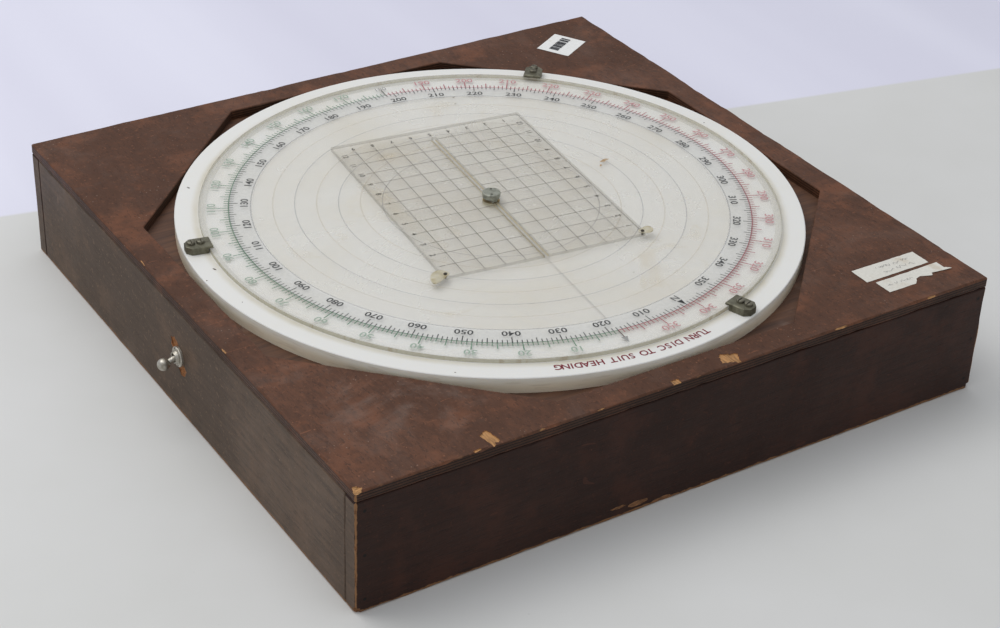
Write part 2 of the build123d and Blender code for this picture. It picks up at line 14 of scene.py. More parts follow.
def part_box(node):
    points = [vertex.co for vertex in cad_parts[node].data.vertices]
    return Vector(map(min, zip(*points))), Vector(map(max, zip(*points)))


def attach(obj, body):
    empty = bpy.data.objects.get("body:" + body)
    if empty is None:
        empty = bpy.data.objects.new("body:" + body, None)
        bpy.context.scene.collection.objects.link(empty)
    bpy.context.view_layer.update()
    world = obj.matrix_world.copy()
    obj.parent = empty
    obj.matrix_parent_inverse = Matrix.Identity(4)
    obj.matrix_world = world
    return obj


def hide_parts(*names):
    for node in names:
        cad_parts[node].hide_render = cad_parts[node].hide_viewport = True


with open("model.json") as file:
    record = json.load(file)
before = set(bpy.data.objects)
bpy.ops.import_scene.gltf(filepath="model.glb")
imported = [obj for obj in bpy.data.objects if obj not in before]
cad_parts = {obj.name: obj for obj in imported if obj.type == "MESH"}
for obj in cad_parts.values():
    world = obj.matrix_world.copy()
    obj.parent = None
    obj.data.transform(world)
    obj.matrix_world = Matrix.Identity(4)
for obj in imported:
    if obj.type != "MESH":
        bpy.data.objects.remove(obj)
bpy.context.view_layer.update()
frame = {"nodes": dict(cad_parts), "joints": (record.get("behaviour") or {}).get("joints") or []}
NODES = frame["nodes"]
MM = 0.001

# ---- measures read from the frame
PANEL_LOW, PANEL_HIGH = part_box("top_panel")
HALF = PANEL_HIGH.x
TOP_Z = PANEL_HIGH.z
BASE_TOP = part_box("base_disc")[1].z
PLOT_LOW, PLOT_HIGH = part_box("plotting_disc")
PLOT_R = PLOT_HIGH.x
PLATE_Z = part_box("cursor_plate")[0].z
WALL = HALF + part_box("left_board")[1].x
SLIDE_AXIS = Vector(next(j["axis"] for j in frame["joints"] if j["name"] == "cursor_slide"))
PLATE_TURN = math.atan2(SLIDE_AXIS.x, SLIDE_AXIS.y)      # clockwise from +Y

# ---- scale layout
UNIT = 203.2 * MM                    # half the box: dial radii are shares of it
DIAL_TURN = math.radians(5.9)        # heading mark, clockwise from +Y
COMPASS_TURN = math.radians(-12.1)   # compass zero, clockwise from +Y
SCALE_R = 0.7495 * UNIT              # circle that both degree scales stand on
COMPASS_INNER_R = 0.6875 * UNIT      # inner rim of the white compass band
RING_STEP = 12.7 * MM                # range rings and cursor squares
OCTAGON_INRADIUS = 185.6 * MM
RELATIVE_Z = PLOT_LOW.z + 1.35 * MM  # the scale under the disc looks raised by the acrylic
COMPASS_Z = PLOT_LOW.z + 1.50 * MM
ARROW_SPREAD = 0.0125                # half the angle an arrow head takes up, in radians
LEGEND_R = 0.8615 * UNIT
LEGEND_FROM, LEGEND_TO = math.radians(-9.2), math.radians(21.4)
COMPASS_NUMBER_R = 0.7045 * UNIT
COMPASS_ARROW = (0.7215 * UNIT, 0.7455 * UNIT)

# body and slot of what is printed or laid on each surface
ON_PAPER = ("case", "paper")
ON_BASE = ("dial_base", "opal_acrylic")
ON_DISC = ("plotting_dial", "matt_acrylic")
ON_CURSOR = ("cursor", "clear_acrylic")
SQUARE = ((-1, -1), (1, -1), (1, 1), (-1, 1))     # corners, anticlockwise


# ---- node-tree helper
class Shader:
    """A material with one Principled shader and short calls for the nodes that feed it."""

    def __init__(self, name, **plain):
        self.material = bpy.data.materials.new(name)
        self.material.use_nodes = True
        self.tree = self.material.node_tree
        self.tree.nodes.clear()
        output = self.tree.nodes.new("ShaderNodeOutputMaterial")
        self.bsdf = self.tree.nodes.new("ShaderNodeBsdfPrincipled")
        self.tree.links.new(self.bsdf.outputs[0], output.inputs["Surface"])
        for socket, value in plain.items():
            self.set(socket.replace("_", " "), value)

    def set(self, socket, value):
        """Sets a shader socket to a number, a colour or another node's output."""
        self.plug(self.bsdf.inputs[socket], value)

    def plug(self, target, value):
        if isinstance(value, bpy.types.NodeSocket):
            self.tree.links.new(value, target)
        elif isinstance(value, (tuple, list)) and target.type == "RGBA":
            target.default_value = (*value[:3], 1.0)
        else:
            target.default_value = value

    def node(self, kind, sockets=None, **properties):
        """A node with its properties set and its inputs filled from a socket-to-value table."""
        made = self.tree.nodes.new(kind)
        for key, value in properties.items():
            setattr(made, key, value)
        for socket, value in (sockets or {}).items():
            self.plug(made.inputs[socket], value)
        return made

    def place(self):
        """Object coordinates: metres in the CAD frame."""
        return self.node("ShaderNodeTexCoord").outputs["Object"]

    def normal(self):
        return self.node("ShaderNodeNewGeometry").outputs["Normal"]

    def sideways(self, low, high):
        """1 on upright faces and 0 on level ones."""
        return self.step(self.size_of(self.axis(self.normal(), "Z")), high, low)

    def axis(self, vector, letter):
        return self.node("ShaderNodeSeparateXYZ", {0: vector}).outputs[letter]

    def vector_math(self, operation, vector, other=(0.0, 0.0, 0.0)):
        return self.node("ShaderNodeVectorMath", {0: vector, 1: other}, operation=operation)

    def stretch(self, vector, scale):
        return self.vector_math("MULTIPLY", vector, scale).outputs[0]

    def move(self, vector, offset):
        return self.vector_math("SUBTRACT", vector, offset).outputs[0]

    def dot(self, vector, direction):
        return self.vector_math("DOT_PRODUCT", vector, direction).outputs["Value"]

    def length(self, vector):
        return self.vector_math("LENGTH", vector).outputs["Value"]

    def radius(self, vector):
        """Distance from the upright axis."""
        return self.length(self.stretch(vector, (1.0, 1.0, 0.0)))

    def noise(self, vector, scale=1.0, detail=3.0, roughness=0.5, distortion=0.0):
        sockets = {"Vector": vector, "Scale": scale, "Detail": detail, "Roughness": roughness,
                   "Distortion": distortion}
        return self.node("ShaderNodeTexNoise", sockets).outputs[0]

    def specks(self, vector, scale, wide, narrow, cluster, low, high):
        """Round specks, only where a coarser noise is high."""
        cells = self.node("ShaderNodeTexVoronoi", {"Vector": vector, "Scale": scale})
        dots = self.step(cells.outputs["Distance"], wide, narrow)
        return self.times(dots, self.step(self.noise(vector, cluster), low, high))

    def math(self, operation, a, b=0.0):
        return self.node("ShaderNodeMath", {0: a, 1: b}, operation=operation).outputs[0]

    def times(self, a, b):
        return self.math("MULTIPLY", a, b)

    def plus(self, a, b):
        return self.math("ADD", a, b)

    def minus(self, a, b):
        return self.math("SUBTRACT", a, b)

    def larger(self, a, b):
        return self.math("MAXIMUM", a, b)

    def smaller(self, a, b):
        return self.math("MINIMUM", a, b)

    def size_of(self, a):
        return self.math("ABSOLUTE", a)

    def step(self, value, low, high, to_low=0.0, to_high=1.0):
        """Smooth ramp from to_low at low to to_high at high."""
        sockets = {"Value": value, "From Min": low, "From Max": high, "To Min": to_low, "To Max": to_high}
        return self.node("ShaderNodeMapRange", sockets, interpolation_type="SMOOTHSTEP").outputs[0]

    def mix(self, factor, a, b):
        """Colour a where the factor is 0 and b where it is 1."""
        return self.node("ShaderNodeMix", {0: factor, 6: a, 7: b}, data_type="RGBA").outputs[2]

    def ramp(self, value, *stops):
        """Colour ramp from (position, colour) pairs."""
        made = self.node("ShaderNodeValToRGB", {0: value})
        elements = made.color_ramp.elements
        while len(elements) < len(stops):
            elements.new(1.0)
        for element, (position, colour) in zip(elements, stops):
            element.position = position
            element.color = (*colour, 1.0)
        return made.outputs[0]

    def bump(self, height, distance, strength=1.0):
        sockets = {"Strength": strength, "Distance": distance, "Height": height}
        self.set("Normal", self.node("ShaderNodeBump", sockets).outputs[0])


# ---- materials
TOP_STAIN = (0.110, 0.0450, 0.0228)
# Stain of the far and near boards: a much darker copy of the top's stain, with the shade of the dim +Y face
# painted into it.
SHADED_STAIN = (0.034, 0.0120, 0.0068)
# Stain of the side boards: a paler, greyer copy of the top's stain, with the sheen of grazing light on the
# +X face painted into it.
SHEEN_GREY_STAIN = (0.126, 0.083, 0.056)
BARE_WOOD = (0.46, 0.245, 0.095)
DUST = (0.33, 0.27, 0.235)
OCHRE = (0.32, 0.16, 0.066)
NAIL_LEVELS = (8.0 * MM, 35.0 * MM, 62.0 * MM)
DUSTY_CORNER = (0.135, 0.125, 0.0)
PLY = 1.6 * MM                       # from one seam of the top's edge to the next
# noise scale along X, Y and Z: the low one runs with the grain
GRAIN = {"x": (26.0, 330.0, 330.0), "y": (330.0, 26.0, 330.0), "top": (300.0, 95.0, 330.0)}


def toned(colour, share):
    """A colour made darker or lighter."""
    return tuple(min(1.0, share * value) for value in colour)


def edge_distances(shader, place):
    """Distances from a point on the box to its nearest edge, to an upright edge and to a foot edge."""
    position = {letter: shader.axis(place, letter) for letter in "XYZ"}
    dx = shader.minus(HALF, shader.size_of(position["X"]))
    dy = shader.minus(HALF, shader.size_of(position["Y"]))
    dz = shader.smaller(position["Z"], shader.minus(TOP_Z, position["Z"]))
    upright = shader.larger(dx, dy)
    side = shader.smaller(dx, dy)
    nearest = shader.larger(side, shader.smaller(upright, dz))
    return nearest, upright, shader.larger(side, position["Z"])


def dusted(s, place, colour, dusty):
    """Haze and crumbs of dust, thickest in the corner by the dial."""
    haze = s.noise(place, 26.0, 6.0, 0.70, 0.6)
    near_dial = s.step(s.radius(s.move(place, DUSTY_CORNER)), 0.085, 0.02)
    everywhere = s.plus(s.times(near_dial, dusty), 0.06)
    colour = s.mix(s.times(s.step(haze, 0.46, 0.70), everywhere), colour, DUST)
    crumbs = s.specks(place, 330.0, 0.16, 0.06, 45.0, 0.56, 0.64)
    return s.mix(s.times(crumbs, 0.45), colour, (0.40, 0.31, 0.25))


def laminated_edge(s, place, colour, between, seam_colour):
    """Dark plies with seams between them on the upright faces of the top; the faces turned towards +Y are
    darkened further with painted shade.
    """
    rise = s.minus(s.axis(place, "Z"), PANEL_LOW.z)
    wave = s.times(s.noise(place, 60.0, 2.0), 0.5 * MM)
    layers = s.math("SINE", s.times(s.plus(rise, wave), 2 * math.pi / PLY))
    on_edge = s.sideways(0.2, 0.5)
    # painted shade: the edge faces turned towards +Y are darkened much more than the others
    far_side_shade = s.step(s.axis(s.normal(), "Y"), 0.3, 0.7, 0.15, 0.55)
    colour = s.mix(s.times(on_edge, far_side_shade), colour, between)
    seam = s.times(s.step(layers, 0.25, 0.9), on_edge)
    return s.mix(s.times(seam, 0.95), colour, seam_colour)


def worn_edges(s, place, colour):
    """Stain rubbed off along the box's edges, and an ochre line up its corners and feet."""
    rub = s.noise(place, 150.0, 4.0, 0.7)
    patchy = s.step(s.noise(place, 17.0, 2.0), 0.42, 0.62, 0.25, 1.0)
    reach = s.times(s.times(s.step(rub, 0.50, 0.74), patchy), 1.9 * MM)
    nearest, upright, foot = edge_distances(s, place)
    worn = s.step(s.minus(reach, nearest), 0.0, 0.5 * MM, 0.0, 0.80)
    patches = s.step(s.noise(place, 300.0), 0.35, 0.65)
    colour = s.mix(worn, colour, s.mix(patches, toned(BARE_WOOD, 0.55), (0.14, 0.065, 0.032)))
    ragged = s.times(s.noise(place, 130.0, 4.0, 0.75), 2.0 * MM)
    line = s.step(s.minus(ragged, upright), -0.1 * MM, 0.3 * MM, 0.0, 0.80)
    strip = s.step(s.minus(s.times(ragged, 1.9), foot), -0.2 * MM, 0.3 * MM, 0.0, 0.6)
    return s.mix(s.larger(line, strip), colour, OCHRE)


def stained_plywood(name, grain, tone, dusty=0.0, laminated=False, scratched=0.4, blotchy=0.66):
    """Mahogany stain over plywood: fine grain along one axis, pores, scuffs and worn edges."""
    def shade_of(k, warm=1.0):
        return tone[0] * k * warm, tone[1] * k, tone[2] * k / warm

    s = Shader(name, Specular_IOR_Level=0.24)
    place = s.place()
    along = GRAIN[grain]
    fibre = s.noise(s.stretch(place, along), 1.0, 4.0, 0.65, 0.4)
    pores = s.noise(s.stretch(place, tuple(3.4 * v for v in along)), 1.0, 2.0, 0.5)
    speckle = s.noise(place, 420.0, 3.0, 0.7)
    cloud = s.noise(place, 8.0, 5.0, 0.6, 0.3)
    blotch = s.noise(s.move(place, (0.3, 0.1, 0.0)), 30.0, 4.0, 0.65)
    colour = s.ramp(fibre, (0.30, shade_of(0.62)), (0.52, shade_of(1.0)), (0.76, shade_of(1.28, 1.04)))
    for value, low, high, strength, tint in (
            (cloud, 0.36, 0.62, 0.70, shade_of(0.60, 0.97)),
            (blotch, 0.49, 0.68, blotchy, shade_of(1.44, 1.09)),
            (speckle, 0.57, 0.70, 0.60, shade_of(1.75, 0.97))):
        colour = s.mix(s.step(value, low, high, 0.0, strength), colour, tint)
    flecks = s.specks(place, 150.0, 0.10, 0.05, 19.0, 0.55, 0.62)
    colour = s.mix(s.times(flecks, 0.45), colour, shade_of(3.4, 0.95))
    colour = s.mix(s.step(pores, 0.57, 0.70, 0.0, 0.60), colour, shade_of(0.40))
    if dusty:
        colour = dusted(s, place, colour, dusty)
    scratch = s.noise(s.stretch(place, (60.0, 420.0, 120.0)), 1.0, 1.0, 0.4, 1.2)
    colour = s.mix(s.step(scratch, 0.755, 0.775, 0.0, scratched), colour, shade_of(2.4, 1.05))
    if laminated:
        colour = laminated_edge(s, place, colour, shade_of(0.16), shade_of(0.03))
    s.set("Base Color", worn_edges(s, place, colour))
    s.set("Roughness", s.step(s.plus(cloud, s.times(speckle, 0.5)), 0.5, 0.95, 0.42, 0.62))
    grain_height = s.minus(s.times(fibre, 0.4), s.step(pores, 0.54, 0.72))
    s.bump(s.plus(grain_height, s.times(speckle, 0.6)), 0.12 * MM, 0.5)
    return s.material


def bare_wood(name, colour=BARE_WOOD, rough=0.8, along=(260.0, 900.0, 900.0)):
    """Unstained broken wood with short fibres."""
    s = Shader(name, Roughness=rough)
    place = s.place()
    fibre = s.noise(s.stretch(place, along), 1.0, 4.0, 0.65)
    s.set("Base Color", s.ramp(fibre, (0.3, toned(colour, 0.35)), (0.55, colour), (0.8, toned(colour, 1.3))))
    s.bump(fibre, 0.3 * MM, 0.8)
    return s.material


def shelf_wood():
    """Stained floor of the well: darker, with dust in the corners."""
    s = Shader("shelf_wood", Roughness=0.62)
    place = s.place()
    fibre = s.noise(s.stretch(place, (18.0, 260.0, 260.0)), 1.0, 5.0, 0.6, 0.5)
    colour = s.ramp(fibre, (0.3, (0.050, 0.021, 0.011)), (0.6, (0.110, 0.047, 0.022)),
                    (0.8, (0.16, 0.072, 0.033)))
    s.set("Base Color", s.mix(s.step(s.noise(place, 40.0, 4.0), 0.58, 0.75, 0.0, 0.22), colour, DUST))
    s.bump(fibre, 0.15 * MM, 0.5)
    return s.material


def opal_acrylic():
    """White base disc: satin face, cream edge with dirt settled near its foot."""
    s = Shader("opal_acrylic_face", Subsurface_Weight=0.12, Subsurface_Scale=0.004, Coat_Weight=0.15,
               Coat_Roughness=0.2)
    s.set("Subsurface Radius", (1.0, 0.9, 0.75))
    place = s.place()
    radius = s.radius(place)
    cloud = s.noise(place, 14.0, 4.0, 0.6, 0.4)
    face = s.mix(s.step(cloud, 0.42, 0.75, 0.0, 0.28), (0.775, 0.770, 0.735), (0.70, 0.66, 0.56))
    specks = s.specks(place, 90.0, 0.055, 0.02, 7.0, 0.55, 0.7)
    face = s.mix(s.times(specks, 0.6), face, (0.36, 0.26, 0.17))
    # a darker, yellowed band on the base just outside the plotting disc's edge
    rim_band = s.times(s.step(radius, PLOT_R - 0.5 * MM, PLOT_R + 1.2 * MM),
                   s.step(radius, PLOT_R + 5.5 * MM, PLOT_R + 1.5 * MM))
    face = s.mix(s.times(rim_band, s.step(cloud, 0.35, 0.7, 0.30, 0.70)), face, (0.53, 0.47, 0.32))
    low = s.step(s.axis(place, "Z"), BASE_TOP - 0.4 * MM, BASE_TOP - 6.5 * MM)
    edge = s.mix(low, (0.97, 0.93, 0.83), (0.96, 0.86, 0.66))
    edge = s.mix(s.step(s.noise(s.stretch(place, (60.0, 60.0, 500.0)), 1.0, 3.0), 0.52, 0.72, 0.0, 0.25),
                 edge, (0.50, 0.39, 0.25))
    on_side = s.sideways(0.3, 0.7)
    s.set("Base Color", s.mix(on_side, face, edge))
    s.set("Roughness", s.step(cloud, 0.3, 0.8, 0.28, 0.42))
    return s.material


def matt_acrylic():
    """Plotting disc: nearly clear with a ground face, yellow where its rim is seen end on."""
    s = Shader("matt_acrylic_disc", Specular_IOR_Level=0.4)
    place = s.place()
    radius = s.radius(place)
    fine = s.noise(place, 60.0, 3.0, 0.6)
    on_side = s.sideways(0.5, 0.8)
    rim = s.times(s.step(radius, PLOT_R - 4.4 * MM, PLOT_R - 3.6 * MM), 0.20)
    dirt = s.step(s.noise(s.stretch(place, (130.0, 130.0, 20.0)), 1.0, 3.0, 0.6), 0.54, 0.66)
    side_tint = s.mix(dirt, (0.50, 0.47, 0.34), (0.38, 0.31, 0.18))
    s.set("Base Color", s.mix(on_side, s.mix(rim, (0.72, 0.71, 0.66), (0.60, 0.56, 0.46)), side_tint))
    s.set("Alpha", s.larger(s.plus(rim, 0.03), s.times(on_side, 0.75)))
    s.set("Roughness", s.step(fine, 0.3, 0.7, 0.40, 0.52))
    return s.material


def cloudy_veil():
    """Haze in the plotting disc over the fixed scale: warm, with tan patches."""
    s = Shader("plotting_haze", Specular_IOR_Level=0.1, Roughness=0.8)
    place = s.place()
    radius = s.radius(place)
    haze = s.noise(place, 11.0, 5.0, 0.62, 0.7)
    stains = s.noise(s.move(place, (0.05, 0.21, 0.0)), 16.0, 4.0, 0.6, 1.2)
    middle = s.step(radius, COMPASS_INNER_R + MM, COMPASS_INNER_R - MM)
    tint = s.mix(s.step(haze, 0.45, 0.72), (0.80, 0.775, 0.71), (0.76, 0.715, 0.61))
    tint = s.mix(s.times(s.step(stains, 0.58, 0.74, 0.0, 0.7), middle), tint, (0.64, 0.53, 0.34))
    s.set("Base Color", tint)
    s.set("Alpha", s.plus(s.step(haze, 0.30, 0.75, 0.08, 0.18), s.times(middle, 0.20)))
    return s.material


def clear_acrylic():
    """Cursor plate: clear and slightly yellowed, its edges dark where light is lost."""
    s = Shader("clear_acrylic_plate", Specular_IOR_Level=0.4)
    place = s.place()
    haze = s.noise(place, 30.0, 4.0, 0.6)
    on_side = s.sideways(0.4, 0.8)
    face = s.mix(s.step(haze, 0.45, 0.7), (0.50, 0.435, 0.30), (0.46, 0.38, 0.24))
    s.set("Base Color", s.mix(on_side, face, (0.25, 0.24, 0.18)))
    s.set("Alpha", s.plus(s.step(haze, 0.3, 0.7, 0.065, 0.090), s.times(on_side, 0.20)))
    s.set("Roughness", s.step(haze, 0.3, 0.7, 0.25, 0.36))
    return s.material


def celluloid():
    """Yellowed tab, thin enough to see through at its edges."""
    s = Shader("yellowed_celluloid", Roughness=0.38, Coat_Weight=0.2)
    place = s.place()
    cloud = s.noise(place, 260.0, 3.0)
    s.set("Base Color", s.ramp(cloud, (0.3, (0.44, 0.37, 0.21)), (0.55, (0.60, 0.54, 0.36)),
                               (0.8, (0.70, 0.66, 0.50))))
    s.set("Alpha", s.step(cloud, 0.35, 0.7, 0.62, 0.36))
    return s.material


def metal(name, low, high, roughness, metallic=1.0, scale=240.0, pits=0.0):
    """Worn metal between two colours, with fine pits."""
    s = Shader(name, Metallic=metallic)
    place = s.place()
    cloud = s.noise(place, scale, 5.0, 0.65, 0.5)
    s.set("Base Color", s.ramp(cloud, (0.32, low), (0.70, high)))
    s.set("Roughness", s.step(cloud, 0.3, 0.75, roughness + 0.18, roughness))
    s.bump(s.noise(place, scale * 6, 3.0), 0.03 * MM, 0.25 + pits)
    return s.material


def moulded(name, colour, roughness=0.4):
    """Moulded plastic or rubber with a faint skin texture."""
    s = Shader(name)
    place = s.place()
    cloud = s.noise(place, 120.0, 3.0)
    s.set("Base Color", s.ramp(cloud, (0.3, toned(colour, 0.8)), (0.7, toned(colour, 1.2))))
    s.set("Roughness", s.step(cloud, 0.3, 0.7, roughness - 0.05, roughness + 0.08))
    s.bump(s.noise(place, 2000.0, 2.0), 0.02 * MM, 0.3)
    return s.material


def ink(name, colour, alpha=1.0, uneven=0.35):
    """Printed ink, a little uneven in strength."""
    s = Shader(name, Roughness=0.55, Specular_IOR_Level=0.25)
    wear = s.noise(s.place(), 420.0, 3.0, 0.6)
    faded = tuple(c + uneven * (0.7 - c) for c in colour)
    s.set("Base Color", s.mix(s.step(wear, 0.5, 0.8, 0.0, 0.35), colour, faded))
    if alpha < 1.0:
        s.set("Alpha", s.step(wear, 0.25, 0.8, alpha * (1.0 + 0.3 * uneven), alpha * (1.0 - 0.7 * uneven)))
    return s.material


def paper_material(name, colour):
    """Aged paper with a fibrous, slightly foxed face."""
    s = Shader(name, Roughness=0.85)
    place = s.place()
    fibre = s.noise(place, 700.0, 4.0, 0.7)
    foxing = s.noise(place, 90.0, 3.0)
    base = s.mix(s.step(fibre, 0.3, 0.7), colour, toned(colour, 0.90))
    s.set("Base Color", s.mix(s.step(foxing, 0.55, 0.75, 0.0, 0.5), base, (0.52, 0.42, 0.29)))
    s.bump(fibre, 0.05 * MM, 0.4)
    return s.material


def glass_bulb():
    """Frosted glass of the two lamps under the dial."""
    s = Shader("frosted_bulb", Roughness=0.35, Alpha=0.55)
    cloud = s.noise(s.place(), 60.0)
    s.set("Base Color", s.ramp(cloud, (0.3, (0.80, 0.80, 0.76)), (0.7, (0.88, 0.88, 0.85))))
    return s.material


def nail_heads():
    """Nail heads in the darker board stain, which has the shade of the +Y face painted in, each with a black
    dot in its middle.
    """
    s = Shader("nail_heads_with_painted_shade", Specular_IOR_Level=0.24, Roughness=0.55)
    place = s.place()
    across = s.minus(s.size_of(s.axis(place, "X")), HALF - WALL / 2)
    heights = [s.size_of(s.minus(s.axis(place, "Z"), level)) for level in NAIL_LEVELS]
    up = s.smaller(s.smaller(heights[0], heights[1]), heights[2])
    middle = s.math("SQRT", s.plus(s.times(across, across), s.times(up, up)))
    # the heads copy the shaded board stain: painted shade
    stain = s.ramp(s.noise(place, 240.0), (0.3, toned(SHADED_STAIN, 0.7)), (0.7, SHADED_STAIN))
    s.set("Base Color", s.mix(s.step(middle, 1.1 * MM, 0.8 * MM), stain, (0.006, 0.004, 0.003)))
    return s.material


def shade(material, *nodes):
    """Gives CAD nodes a material."""
    for node in nodes:
        NODES[node].data.materials.clear()
        NODES[node].data.materials.append(material)


# ---- mesh helpers
def add(name, data):
    """Puts a new object in the scene."""
    made = bpy.data.objects.new(name, data)
    bpy.context.scene.collection.objects.link(made)
    return made


def mesh_of(name, bm):
    """Turns a bmesh into a mesh and frees it."""
    mesh = bpy.data.meshes.new(name)
    bm.normal_update()
    bm.to_mesh(mesh)
    bm.free()
    return mesh


def piece(name, bm, materials, body, slot):
    """Makes an object from a bmesh, gives it materials and sets it riding."""
    made = add(name, mesh_of(name, bm))
    for material in materials:
        made.data.materials.append(material)
    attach(made, body)
    return made


def face_up(faces):
    """Flips the faces that look down."""
    for face in faces:
        if face.normal.z < 0:
            face.normal_flip()


def bridge(bm, outer, inner):
    """Joins two rings of vertices with a strip of quads."""
    count = len(outer)
    for i in range(count):
        bm.faces.new((outer[i], outer[(i + 1) % count], inner[(i + 1) % count], inner[i]))


def thicken(bm):
    """Extrudes every face and returns the vertices of the second skin, still to be moved."""
    grown = bmesh.ops.extrude_face_region(bm, geom=bm.faces[:])
    return [item for item in grown["geom"] if isinstance(item, bmesh.types.BMVert)]


def polar(radius, bearing):
    """Point at a radius and a clockwise bearing from +Y, in radians."""
    return Vector((radius * math.sin(bearing), radius * math.cos(bearing)))


class InkSheet:
    """Flat printed marks gathered into one mesh at one height."""

    def __init__(self, z):
        self.bm = bmesh.new()
        self.z = z

    def polygon(self, points):
        """Filled outline, facing up."""
        verts = [self.bm.verts.new((p[0], p[1], self.z)) for p in points]
        face = self.bm.faces.new(verts)
        face.normal_update()
        face_up([face])

    def bar(self, start, end, width):
        """Straight stroke between two points."""
        start, end = Vector(start[:2]), Vector(end[:2])
        side = (end - start).normalized()
        side = Vector((-side.y, side.x)) * width / 2
        self.polygon([start - side, end - side, end + side, start + side])

    def tick(self, bearing, inner, outer, width):
        """Stroke along a radius."""
        self.bar(polar(inner, bearing), polar(outer, bearing), width)

    def arrow(self, bearing, foot, tip):
        """Arrow head pointing outwards."""
        self.polygon([polar(tip, bearing), polar(foot, bearing + ARROW_SPREAD),
                      polar(foot, bearing - ARROW_SPREAD)])

    def arc(self, radius, width, start=0.0, end=2 * math.pi, steps=360):
        """Curved stroke as a strip of quads."""
        count = max(2, int(steps * abs(end - start) / (2 * math.pi)))
        bearings = [start + (end - start) * i / count for i in range(count + 1)]
        inner = [polar(radius - width / 2, b) for b in bearings]
        outer = [polar(radius + width / 2, b) for b in bearings]
        for i in range(count):
            self.polygon([inner[i], inner[i + 1], outer[i + 1], outer[i]])

    def stroke(self, points, width):
        """Hand-drawn stroke through several points."""
        for start, end in zip(points, points[1:]):
            self.bar(start, end, width)

    def text(self, body, matrix, size, stretch=1.0, bold=0.0):
        """Lettering in the built-in face, centred on the matrix's origin."""
        curve = bpy.data.curves.new("lettering", "FONT")
        curve.body = body
        curve.align_x = "CENTER"
        curve.align_y = "CENTER"
        curve.offset = bold / size
        curve.resolution_u = 3
        holder = add("lettering", curve)
        graph = bpy.context.evaluated_depsgraph_get()
        mesh = bpy.data.meshes.new_from_object(holder.evaluated_get(graph))
        mesh.transform(matrix @ Matrix.Diagonal((stretch * size, size, 1.0, 1.0)))
        self.bm.from_mesh(mesh)
        bpy.data.objects.remove(holder)
        bpy.data.curves.remove(curve)
        bpy.data.meshes.remove(mesh)

    def text_at(self, body, radius, bearing, size, **style):
        """Lettering on a radius, its top away from the centre."""
        at = polar(radius, bearing)
        matrix = Matrix.Translation((at.x, at.y, self.z)) @ Matrix.Rotation(-bearing, 4, "Z")
        self.text(body, matrix, size, **style)

    def finish(self, name, material, body, slot):
        """Turns the marks into one piece."""
        piece(name, self.bm, [material], body, slot)


# ---- worn wooden case
CHIP_SEED = 7
EDGE_ROUND = 0.7 * MM
EDGE_CELL = 5.0 * MM
BOARD_WEAR = 0.45 * MM
PANEL_WEAR = 0.5 * MM
SHARP = 0.6                          # radians between the faces of an edge that is rounded


def roughen(bm, low, high, amount, seed):
    """Moves edge vertices inwards by noise, each one only within the box faces it doesn't lie on."""
    planes = [(axis, value[axis], inward) for axis in range(3) for value, inward in ((low, 1), (high, -1))]
    for vert in bm.verts:
        shift = Vector()
        near = 0
        for axis, value, inward in planes:
            away = abs(vert.co[axis] - value)
            if away < 1e-6:
                near += 1
            elif away < 1.6 * EDGE_ROUND:
                shift[axis] = inward
        if shift.length and near < 3:
            sample = vert.co * 55.0 + Vector((seed, 0.0, seed))
            nick = max(0.0, noise.noise(sample * 3.1)) ** 2 * 2.2
            vert.co += shift * amount * (0.35 + 0.65 * noise.noise(sample) + nick)


def cut_edges(bm, edges):
    """Divides long edges so that a worn edge has points to move."""
    for edge in list(edges):
        cuts = int(edge.calc_length() / EDGE_CELL) - 1
        if cuts > 0:
            bmesh.ops.subdivide_edges(bm, edges=[edge], cuts=cuts)


def round_edges(bm, edges):
    bmesh.ops.bevel(bm, geom=edges, offset=EDGE_ROUND, segments=2, profile=0.6, affect="EDGES")


def sharp_edges(bm):
    return [e for e in bm.edges if len(e.link_faces) == 2 and e.calc_face_angle(0.0) > SHARP]


def worn_block(low, high, seed):
    """Board with rounded, irregular edges."""
    bm = bmesh.new()
    bmesh.ops.create_cube(bm, size=1.0)
    size = high - low
    centre = (high + low) / 2
    for vert in bm.verts:
        vert.co = Vector(v * s + c for v, s, c in zip(vert.co, size, centre))
    cut_edges(bm, bm.edges)
    round_edges(bm, bm.edges[:])
    roughen(bm, low, high, BOARD_WEAR, seed)
    return bm


def worn_panel(low, high, inradius, seed):
    """Square top with the octagonal well cut through it."""
    bm = bmesh.new()
    corners = [(high.x, high.y), (low.x, high.y), (low.x, low.y), (high.x, low.y)]
    reach = inradius / math.cos(math.pi / 8)
    bearings = [math.pi / 8 + i * math.pi / 4 for i in range(8)]
    octagon = [(reach * math.cos(b), reach * math.sin(b)) for b in bearings]
    edges = []
    for loop in (corners, octagon):
        verts = [bm.verts.new((x, y, high.z)) for x, y in loop]
        edges += [bm.edges.new((verts[i], verts[(i + 1) % len(verts)])) for i in range(len(verts))]
    bmesh.ops.triangle_fill(bm, use_beauty=True, edges=edges)
    bmesh.ops.dissolve_limit(bm, angle_limit=0.01, verts=bm.verts[:], edges=bm.edges[:])
    face_up(bm.faces)
    for vert in thicken(bm):
        vert.co.z = low.z
    bmesh.ops.recalc_face_normals(bm, faces=bm.faces[:])
    cut_edges(bm, sharp_edges(bm))
    round_edges(bm, sharp_edges(bm))
    roughen(bm, low, high, PANEL_WEAR, seed)
    return bm


def chip(centre, size, turn, seed):
    """Ragged lens-shaped cutter: what it takes away is bare wood. Sizes are half-extents."""
    bm = bmesh.new()
    bmesh.ops.create_icosphere(bm, subdivisions=4, radius=1.0)
    spin = Matrix.Rotation(turn, 3, "Z")
    for vert in bm.verts:
        swell = 1.0 + 0.35 * noise.noise(vert.co * 1.7 + Vector((seed, 0, 0)))
        swell += 0.16 * noise.noise(vert.co * 6.0 + Vector((0, seed, 0)))
        point = Vector(c * s * swell for c, s in zip(vert.co, size))
        vert.co = spin @ point + Vector(centre)
    return bm


